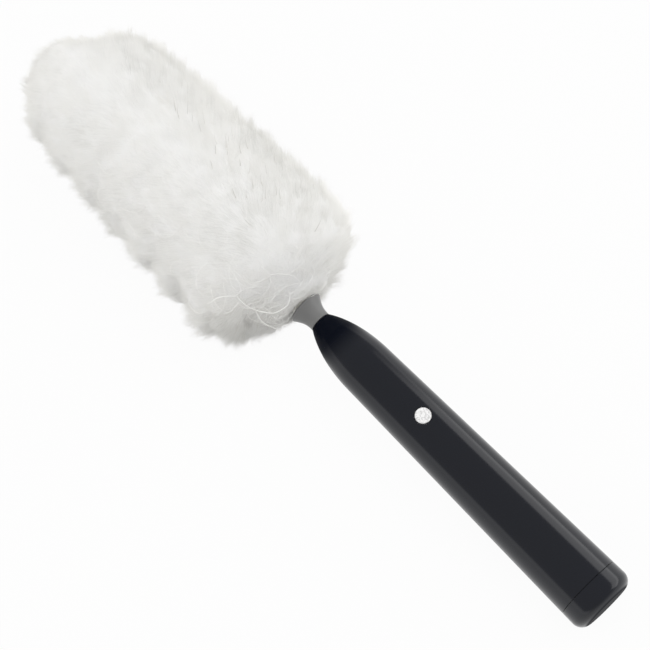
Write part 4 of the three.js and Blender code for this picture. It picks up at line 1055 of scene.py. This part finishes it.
def locks(f, outline, s, angle):
    """The lock that each strand belongs to. Locks lie in rings round the head, each ring cut into equal
    shares, and a lock's middle is a little out of the middle of its share. Returns the way along and the
    turn from each strand to its lock's middle, and four random numbers of its lock."""
    rows = math.ceil(outline.long / f.lock)
    line = (np.arange(rows) + 0.5) * f.lock
    count = np.maximum(3, 2 * np.pi * outline.at(outline.r, line) / f.lock).astype(int)
    row = np.clip(s / f.lock, 0, rows - 1).astype(int)
    place = (angle / (2 * np.pi)) % 1.0 * count[row]
    chance = np.random.default_rng(f.seed + 5).uniform(size=(count.sum(), 6))
    chance = chance[(np.cumsum(count) - count)[row] + np.minimum(place, count[row] - 1).astype(int)]
    along = (row + 0.2 + 0.6 * chance[:, 4]) * f.lock - s
    turn = (np.floor(place) + 0.2 + 0.6 * chance[:, 5] - place) * 2 * np.pi / count[row]
    return along[:, None], turn[:, None], chance[:, :4].T[..., None]


def strand_paths(f, cloud, rng, s, angle, points=4):
    """Centre lines of strands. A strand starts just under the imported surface, leans towards the tip and
    down from the top to the side it is on, gathers with its lock, and rises over the surface: further on
    the head's right, in clumps and at the tip, and on the left most at each tuft's rear. Returns the ways
    along, the angles and the rises of its points."""
    each = (len(s), 1)
    outline = cloud.outline
    clump, rear = cloud.read(cloud.clumps, s, angle)[:, None], cloud.read(cloud.rear, s, angle)[:, None]
    to_lock, turn_to_lock, (far, high, tall, slant) = locks(f, outline, s, angle)
    s, angle = s[:, None], angle[:, None]
    left, right = left_of(angle), right_of(angle)
    way = np.linspace(0.0, 1.0, points)[None, :]
    sweep = f.sweep * (0.5 + 0.6 * far + rng.uniform(0, 0.35, each)) * (1 - 0.35 * left)
    rise = f.pile * (0.1 + 0.32 * high + rng.uniform(0, 0.12, each) + 0.2 * right)
    rise += 1.2 * MM * np.minimum(-np.log(1 - 0.98 * tall), 3.0) * (0.5 + right)
    rise += 0.9 * MM * clump * (0.4 + 0.8 * right + 0.4 * left)
    uneven = 0.3 + 0.7 * high
    rise += 0.45 * f.scallop * left * rear * uneven
    rise += bump(angle, 1.6, 0.5) * rng.uniform(0, 2.6 * MM, each) * uneven
    rise += rng.uniform(0, 3.6 * MM, each) * ramp_up(s - outline.long, -55 * MM, -15 * MM)
    rise = np.clip(rise * np.where(rng.uniform(size=each) < 0.05, 1.7, 1.0), 0.3 * MM, 8.5 * MM)
    tilt = np.sin(2 * angle) * (np.cos(angle) > 0)
    fall = f.fall * (tilt / np.sqrt(tilt ** 2 + 0.1) * (0.6 + 0.5 * far) + 0.5 * (slant - 0.5))
    arch = np.sin(np.pi * way)
    bow = rng.normal(0.0, 0.8 * MM, each) * arch
    curl = rng.normal(0.0, 0.9 * MM, each) * arch + rng.normal(0.0, 0.7 * MM, each) * way
    gather = (0.25 + 0.4 * np.sin(angle) ** 2) * way ** 2
    along = s + sweep * way + bow + to_lock * gather
    radius = np.maximum(np.abs(outline.at(outline.r, along)), 8 * MM)
    turned_to = angle + (curl + fall * way) / radius + turn_to_lock * gather
    return along, turned_to, (rise + ROOT) * way ** 1.3 - ROOT


def strand_mesh(name, lines, normals, widths, tones):
    """A mesh of three-sided strands that taper to a point, each side a low roof over a flat back. lines
    holds each strand's centre points, normals the soft shading direction at each, widths its half
    thickness at each and tones its tone. The map holds the way to the tip in u and the tone in v."""
    count, rings = lines.shape[:2]
    ahead = unit(np.gradient(lines, axis=1))
    across = unit(np.cross(ahead, normals))
    third = np.cross(ahead, across)
    roof, softness = 0.4, 0.62
    turn = np.array([0.0, 1.0, 2.0])[:, None] * 2 * np.pi / 3
    ring = across[:, :-1, None] * np.sin(turn) - roof * third[:, :-1, None] * np.cos(turn)
    body = lines[:, :-1, None] + ring * widths[:, :-1, None, None]
    points = np.concatenate([body.reshape(count, -1, 3), lines[:, -1:]], axis=1)
    shading = softness * normals[:, :-1, None] + (1 - softness) * ring
    shading = unit(np.concatenate([shading.reshape(count, -1, 3), normals[:, -1:]], axis=1))

    k = np.arange(rings - 2)[:, None] * 3
    a, b = np.arange(3)[None, :], (np.arange(3)[None, :] + 1) % 3
    sides = np.stack([k + a, k + b, k + 3 + b, k + 3 + a], axis=-1).reshape(-1, 4)
    last, tip = 3 * (rings - 2), 3 * (rings - 1)
    ends = np.array([[last, last + 1, tip], [last + 1, last + 2, tip], [last + 2, last, tip], [2, 1, 0]])
    pattern = np.concatenate([sides.reshape(-1), ends.reshape(-1)])
    corners = np.concatenate([np.full(len(sides), 4), np.full(len(ends), 3)])
    starts = np.concatenate([[0], np.cumsum(corners)[:-1]])
    strand = np.arange(count)[:, None]

    mesh = bpy.data.meshes.new(name)
    mesh.vertices.add(count * (tip + 1))
    mesh.vertices.foreach_set("co", points.astype(np.float32).ravel())
    mesh.loops.add(count * len(pattern))
    mesh.loops.foreach_set("vertex_index", (strand * (tip + 1) + pattern).astype(np.int32).ravel())
    mesh.polygons.add(count * len(corners))
    mesh.polygons.foreach_set("loop_start", (strand * len(pattern) + starts).astype(np.int32).ravel())
    way = np.append(np.repeat(np.arange(rings - 1), 3), rings - 1) / (rings - 1)
    aside = np.append(np.tile(np.arange(3), rings - 1), 1) * 0.004
    u = np.broadcast_to(way[pattern], (count, len(pattern)))
    v = np.clip(tones[:, None], 0.0, 0.99) + aside[pattern][None, :]
    bake = mesh.uv_layers.new(name="OFBake")
    bake.uv.foreach_set("vector", np.stack([u, v], axis=-1).astype(np.float32).ravel())
    mesh.update(calc_edges=True)
    mesh.shade_smooth()
    mesh.normals_split_custom_set_from_vertices(shading.reshape(-1, 3).tolist())
    return mesh


class DUSTER_OT_fluff_core(bpy.types.Operator):
    """Make the packed fibre under the loose strands, swollen under each tuft and flat where it lies"""
    bl_idname = "duster.fluff_core"
    bl_label = "Fluff core"

    def execute(self, context):
        settings = context.scene.duster
        f, colours = settings.fluff, settings.colours
        cloud = Cloud(f)
        surface = (cloud.lines(cloud.s, cloud.angle, 0.0, 2.2 * MM) - ORIGIN) @ BASIS.T
        surface[[0, -1]] = surface[[0, -1]].mean(axis=1, keepdims=True)  # closes both poles
        # Centre of the painted shade on the packed fibre, on the head's left near the neck
        painted_shade_centre = to_row(cloud.outline.points(40 * MM, 1.4, 0.0))
        finish = packed_fibre(colours.fluff_tip, colours.fluff_root, tuple(painted_shade_centre))
        solid("fluff_core", [patch(surface, wrap=True)], "head", finish, ["fluff"], sharp=180.0)
        return {"FINISHED"}


class DUSTER_OT_fluff_strands(bpy.types.Operator):
    """Make the loose strands of the fluff in bands along the head"""
    bl_idname = "duster.fluff_strands"
    bl_label = "Fluff strands"

    def upright(self, outline, s, angle):
        """How far the shading directions lean towards the button's side: more on top, on the right along
        its middle and towards the tip, and at the rear end."""
        way = s / outline.long
        on_right = 0.15 + 1.2 * way + 0.6 * bump(way, 0.42, 0.2)
        lean = 0.2 + 0.2 * np.cos(angle) + right_of(angle) * on_right
        lean += 0.35 * ramp_up(s - outline.long, -80 * MM, -30 * MM)
        return lean + 0.3 * bump(s, 36 * MM, 12 * MM) * bump(angle, 0.0, 0.5)

    def tones(self, f, cloud, rng, s, angle):
        """Tones of the strands: by tuft and by chance, darker in low locks, and darkened as painted shade on the
        head's left near the neck and on top before the rear end."""
        high = locks(f, cloud.outline, s, angle)[2][1][:, 0]
        tones = 0.1 + 0.42 * cloud.read(cloud.tone, s, angle) + 0.48 * rng.uniform(0, 1, len(s))
        # Painted shade on the head's left near the neck
        tones -= 0.6 * bump(s, 40 * MM, 16 * MM) * bump(angle, 1.4, 0.4)
        tones -= (0.25 + 0.3 * right_of(angle)) * (1 - high) ** 2
        # Painted shade on top before the rear end
        tones -= 0.3 * bump(s, 68 * MM, 21 * MM) * bump(angle, 0.05, 0.5)
        return np.clip(tones, 0.06, 0.98)

    def execute(self, context):
        settings = context.scene.duster
        f, colours = settings.fluff, settings.colours
        cloud = Cloud(f)
        outline = cloud.outline
        rng = np.random.default_rng(f.seed + 3)
        finish = strand_fibre(colours.fluff_tip, colours.fluff_root)
        total = f.strands * f.bands
        bare_neck = 0.012  # share of the surface, left to the fringe
        s = np.sort(outline.spread_to(rng.uniform(bare_neck, 1.0, total)))
        angle = rng.uniform(-np.pi, np.pi, total)
        along, turned_to, rise = strand_paths(f, cloud, rng, s, angle)
        lines = cloud.lines(along, turned_to, rise, rng.uniform(0.4 * MM, 2.4 * MM, (total, 1)))
        lean = self.upright(outline, s, angle)[:, None, None]
        normals = cloud.shading(along, turned_to, lean * UP)
        taper = 1 - 0.75 * np.linspace(0.0, 1.0, along.shape[1]) ** 1.3
        widths = f.strand / 2 * rng.uniform(0.75, 1.25, (total, 1)) * taper
        tones = self.tones(f, cloud, rng, s, angle)

        # Painted shade: a few short dark strands stand for shadowed gaps in the parting on the right and for the
        # shaded tuft beside the neck
        parting = bump(angle, -0.45, 0.28) * bump(s, 105 * MM, 35 * MM)
        under = bump(angle, 1.36, 0.2) * bump(s, 36 * MM, 10 * MM)
        dark = rng.uniform(0, 1, total) < 0.012 * parting + 0.05 * under
        tones = np.where(dark, rng.uniform(0, 0.03, total), tones)
        thicker, shorter = 4.2, 0.6
        widths[dark] *= thicker
        lines[dark] = lines[dark, -1:] + shorter * (lines[dark] - lines[dark, -1:])
        for n in range(f.bands):
            band = slice(n * f.strands, (n + 1) * f.strands)
            name = f"fluff_band_{n + 1}"
            mesh = strand_mesh(name, lines[band], normals[band], widths[band], tones[band])
            put(name, mesh, "head", finish, ["fluff"]).visible_shadow = False
        return {"FINISHED"}


class DUSTER_OT_neck_fringe(bpy.types.Operator):
    """Make the short strands at the neck, which close the gap between the collar's lip and the fluff"""
    bl_idname = "duster.neck_fringe"
    bl_label = "Neck fringe"

    def execute(self, context):
        settings = context.scene.duster
        f, colours = settings.fluff, settings.colours
        cloud = Cloud(f)
        rng = np.random.default_rng(f.seed + 2)
        each = (f.fringe, 1)
        lip = 9.8 * MM  # way along the outline where the collar's lip is
        way = np.linspace(0.0, 1.0, 5)[None, :]
        inward = rng.uniform(size=each) < 0.55
        s = np.where(inward, 12.5 * MM, 6.5 * MM) + 11.5 * MM * rng.uniform(0, 1, each) ** 1.4
        reach = np.where(inward, np.minimum(lip - s, -1 * MM), rng.uniform(2 * MM, 9 * MM, each))
        along = s + reach * rng.uniform(0.6, 1.0, each) * way
        angle = rng.uniform(-np.pi, np.pi, each) + rng.normal(0.0, 0.16, each) * way
        rise = 0.3 * MM + np.where(inward, 1.2 * MM, 2.8 * MM) * rng.uniform(0, 1, each) ** 1.6
        lines = cloud.lines(along, angle, (rise + ROOT) * way ** 1.2 - ROOT, 1 * MM)
        normals = cloud.shading(along, angle, [0.0, 0.0, 0.4])
        widths = f.strand / 2 * (1 - 0.8 * way ** 1.3) * np.ones(each)
        mesh = strand_mesh("neck_fringe", lines, normals, widths, rng.uniform(0.3, 0.98, f.fringe))
        finish = strand_fibre(colours.fluff_tip, colours.fluff_root)
        put("neck_fringe", mesh, "head", finish, ["fluff"]).visible_shadow = False
        return {"FINISHED"}


# Knots of three long hairs near the neck: ways along the fluff's outline in mm and angles in degrees
LOOPS = (
    ((55, 39), (50, 39), (43, 41), (38.5, 43), (33.5, 43.5), (27, 42.5), (24.5, 35), (23.5, 24), (25, 8)),
    ((39, 43.5), (35.5, 49.5), (31, 58), (26, 68.5), (20, 84), (16, 100)),
    ((67.5, 59), (64, 51.5), (62, 45.5), (57.5, 39.5), (53, 36)),
)


def through(knots, count):
    """Points on a smooth curve through knots: between two knots a cubic that leaves each along the line
    between its neighbours."""
    lean = np.gradient(knots, axis=0)
    place = np.linspace(0.0, len(knots) - 1.0, count)
    k = np.minimum(place.astype(int), len(knots) - 2)
    t = (place - k)[:, None]
    return ((1 + 2 * t) * (1 - t) ** 2 * knots[k] + t * (1 - t) ** 2 * lean[k]
            + t ** 2 * (3 - 2 * t) * knots[k + 1] - t ** 2 * (1 - t) * lean[k + 1])


class DUSTER_OT_stray_hairs(bpy.types.Operator):
    """Make the long stray hairs that arch over the fluff: many short arcs and a few loops at the neck"""
    bl_idname = "duster.stray_hairs"
    bl_label = "Stray hairs"

    def execute(self, context):
        settings = context.scene.duster
        f, colours = settings.fluff, settings.colours
        cloud = Cloud(f)
        outline = cloud.outline
        rng = np.random.default_rng(f.seed + 1)
        each, points = (f.hairs, 1), 26
        way = np.linspace(0.0, 1.0, points)[None, :]
        s = outline.spread_to(rng.uniform(0.03, 0.8, each) ** 1.8)
        angle = rng.uniform(-0.35, 1.2, each)
        size = rng.uniform(6 * MM, 16 * MM, each)
        side = np.where(rng.uniform(size=each) < 0.5, -1, 1)
        bend = rng.uniform(0.0, 2 * np.pi, each) + rng.uniform(1.2, 3.0, each) * way * side
        along = s + size * np.cos(bend)
        along += np.maximum(15 * MM - along.min(axis=1, keepdims=True), 0)
        radius = np.maximum(np.abs(outline.at(outline.r, along)), 12 * MM)
        turned_to = angle + size * np.sin(bend) / radius
        loops = np.stack([through(np.array(knots) * [MM, math.pi / 180], points) for knots in LOOPS])
        along = np.concatenate([along, loops[..., 0]])
        turned_to = np.concatenate([turned_to, loops[..., 1]])
        looped = np.arange(len(along))[:, None] >= f.hairs
        arch = np.where(looped, 7.2 * MM, 5.5 * MM) * np.clip(7 * np.minimum(way, 1 - way), 0, 1) ** 0.6
        lines = cloud.lines(along, turned_to, arch - 1 * MM, 1 * MM)
        normals = cloud.shading(along, turned_to, [0.0, 0.0, 1.5])
        taper = 0.35 + 0.65 * np.sin(np.pi * np.clip(way * 0.9 + 0.08, 0, 1))
        widths = np.where(looped, 0.25 * MM, 0.11 * MM) * taper
        mesh = strand_mesh("stray_hairs", lines, normals, widths, rng.uniform(0.8, 0.98, len(along)))
        finish = strand_fibre(colours.fluff_tip, colours.fluff_tip)
        put("stray_hairs", mesh, "head", finish, ["fluff"])
        return {"FINISHED"}


# Pieces carried over from the frame

class DUSTER_OT_inner_pieces(bpy.types.Operator):
    """Give the pieces inside the handle and the head their finishes"""
    bl_idname = "duster.inner_pieces"
    bl_label = "Inner pieces"

    def execute(self, context):
        colours = context.scene.duster.colours
        finishes = {
            "steel": drawn_metal("steel", colours.steel),
            "brass": drawn_metal("brass", colours.brass, 0.28),
            "iron": drawn_metal("iron", (0.11, 0.105, 0.1), 0.5),
            "dark_plastic": moulded_plastic("dark_plastic", colours.tray),
            "white_plastic": moulded_plastic("white_plastic", colours.gears, 0.4),
            "spine": moulded_plastic("spine_plastic", (0.6, 0.6, 0.6), 0.4),
            "webbing": woven_sleeve(),
            "board": circuit_board(),
            "red_wire": wire_cover("red_wire", (0.35, 0.012, 0.012)),
            "black_wire": wire_cover("black_wire", (0.012, 0.012, 0.013)),
        }
        for part in frame["record"]["subparts"]:
            name, slot = part["node"], part["material_slot"]
            node = frame["nodes"][name]
            if node.hide_render:
                continue
            node.data.materials.clear()
            node.data.materials.append(
                cell_jacket(f"jacket_{name[-1]}", name) if slot == "cell" else finishes[slot])
            node.data.shade_smooth()
            node.modifiers.new("Weld", "WELD").merge_threshold = 0.01 * MM
            node.modifiers.new("Crisp edges", "EDGE_SPLIT").split_angle = math.radians(35.0)
        return {"FINISHED"}


# Stage

def pale_floor():
    """A floor that shows the object's shadow faintly: seen by the camera, in a reflection or through glass
    it is mostly plain white, and for all other light it is a matt pale surface."""
    finish = Finish("floor", roughness=0.9, specular_ior_level=0.0)
    grain = finish.noise(3.0, detail=2.0)
    finish.wear(finish.mix(grain, (0.74, 0.74, 0.74), (0.76, 0.76, 0.76)))
    look = finish.node("ShaderNodeLightPath", output="Is Camera Ray")
    seen = look + look.output("Is Glossy Ray") + look.output("Is Transmission Ray")
    glow = finish.node("ShaderNodeEmission", inputs={"Color": (1.0, 1.0, 1.0), "Strength": 1.0})
    both = finish.node("ShaderNodeMixShader", inputs={
        0: seen * 0.95, 1: Wire(finish, finish.shader.outputs[0]), 2: glow})
    finish.feed(finish.nodes["Material Output"].inputs["Surface"], both)
    return finish.material


def looking(place, aim, roll=0.0):
    """The place and turn of something that looks from one point to another, rolled about the view."""
    back = (Vector(place) - Vector(aim)).normalized()
    right = Vector((0.0, 0.0, 1.0)).cross(back).normalized()
    up = back.cross(right)
    level = Matrix((right, up, back)).transposed().to_4x4()
    return Matrix.Translation(place) @ level @ Matrix.Rotation(roll, 4, "Z")


class DUSTER_OT_stage(bpy.types.Operator):
    """Make the floor, the studio light and the camera"""
    bl_idname = "duster.stage"
    bl_label = "Stage"

    def light(self, name, place, aim, size, power, seen_in_gloss=False):
        """A soft lamp that the camera doesn't see."""
        lamp = bpy.data.lights.new(name, "AREA")
        lamp.shape = "RECTANGLE"
        lamp.size, lamp.size_y = size
        lamp.energy = power
        holder = bpy.data.objects.new(name, lamp)
        holder.matrix_world = looking(place, aim)
        holder.visible_camera = False
        holder.visible_glossy = seen_in_gloss
        bpy.context.scene.collection.objects.link(holder)

    def execute(self, context):
        scene = context.scene
        stage = scene.duster.stage
        scene.view_settings.view_transform = "Standard"

        far, under = 12.0, 0.2 * MM
        across = np.linspace(-far, far, 3)
        x, y = np.meshgrid(across, across, indexing="ij")
        points, quads = patch(np.stack([x, y, np.full_like(x, -under)], axis=-1))
        mesh = bpy.data.meshes.new("floor")
        mesh.from_pydata(points.tolist(), [], quads.tolist())
        mesh.materials.append(pale_floor())
        floor = bpy.data.objects.new("floor", mesh)
        scene.collection.objects.link(floor)

        world = bpy.data.worlds.new("studio")
        scene.world = world
        world.use_nodes = True
        studio = Nodes(world.node_tree)
        way = studio.node("ShaderNodeSeparateXYZ",
                          inputs={0: studio.node("ShaderNodeTexCoord", output="Generated")})
        horizon = studio.between(way, -0.8, -0.5, stage.behind, stage.horizon)
        sky = studio.between(way.output("Z"), 0.19, 0.26, horizon, stage.overhead)
        studio.feed(studio.nodes["Background"].inputs["Color"], sky)

        self.light("right_softbox", (-0.65, -1.22, 0.49), (-0.65, 0.0, -0.05), (1.7, 0.8), stage.softbox,
                   seen_in_gloss=True)
        self.light("overhead_key", (-0.30, -0.45, 1.60), (0.0, 0.0, 0.03), (1.6, 1.6), stage.key)
        self.light("left_fill", (0.85, 0.95, 0.75), (0.1, 0.0, 0.05), (1.6, 1.0), stage.fill)

        lens = bpy.data.cameras.new("camera")
        lens.lens = stage.lens
        lens.sensor_width = 36.0
        lens.clip_start, lens.clip_end = 0.01, 100.0
        camera = bpy.data.objects.new("camera", lens)
        camera.matrix_world = looking(stage.place, stage.aim, stage.roll)
        scene.collection.objects.link(camera)
        scene.camera = camera
        return {"FINISHED"}


OPERATORS = (
    DUSTER_OT_handle_shells, DUSTER_OT_end_cap, DUSTER_OT_push_button, DUSTER_OT_shell_screws,
    DUSTER_OT_neck_collar, DUSTER_OT_drive_shaft, DUSTER_OT_fluff_core, DUSTER_OT_fluff_strands,
    DUSTER_OT_neck_fringe, DUSTER_OT_stray_hairs, DUSTER_OT_inner_pieces, DUSTER_OT_stage,
)
GROUPS = (HandleSizes, ButtonSizes, CollarSizes, FluffSizes, FinishColours, StageSettings, DusterSettings)


class DUSTER_PT_panel(bpy.types.Panel):
    """The duster's settings and the operators that make its pieces"""
    bl_idname = "DUSTER_PT_panel"
    bl_label = "Spin duster"
    bl_space_type = "VIEW_3D"
    bl_region_type = "UI"
    bl_category = "Duster"

    def draw(self, context):
        settings = context.scene.duster
        for group in ("handle", "button", "collar", "fluff", "colours", "stage"):
            column = self.layout.column(align=True)
            column.label(text=group.title())
            values = getattr(settings, group)
            for name in values.__annotations__:
                column.prop(values, name)
        for operator in OPERATORS:
            self.layout.operator(operator.bl_idname)


CLASSES = (*GROUPS, *OPERATORS, DUSTER_PT_panel)


def register():
    for each in CLASSES:
        bpy.utils.register_class(each)
    bpy.types.Scene.duster = PointerProperty(type=DusterSettings)


def unregister():
    del bpy.types.Scene.duster
    for each in reversed(CLASSES):
        bpy.utils.unregister_class(each)


def main():
    """Makes every piece and the stage."""
    register()
    for operator in OPERATORS:
        group, name = operator.bl_idname.split(".")
        getattr(getattr(bpy.ops, group), name)()


if __name__ == "__main__":
    main()
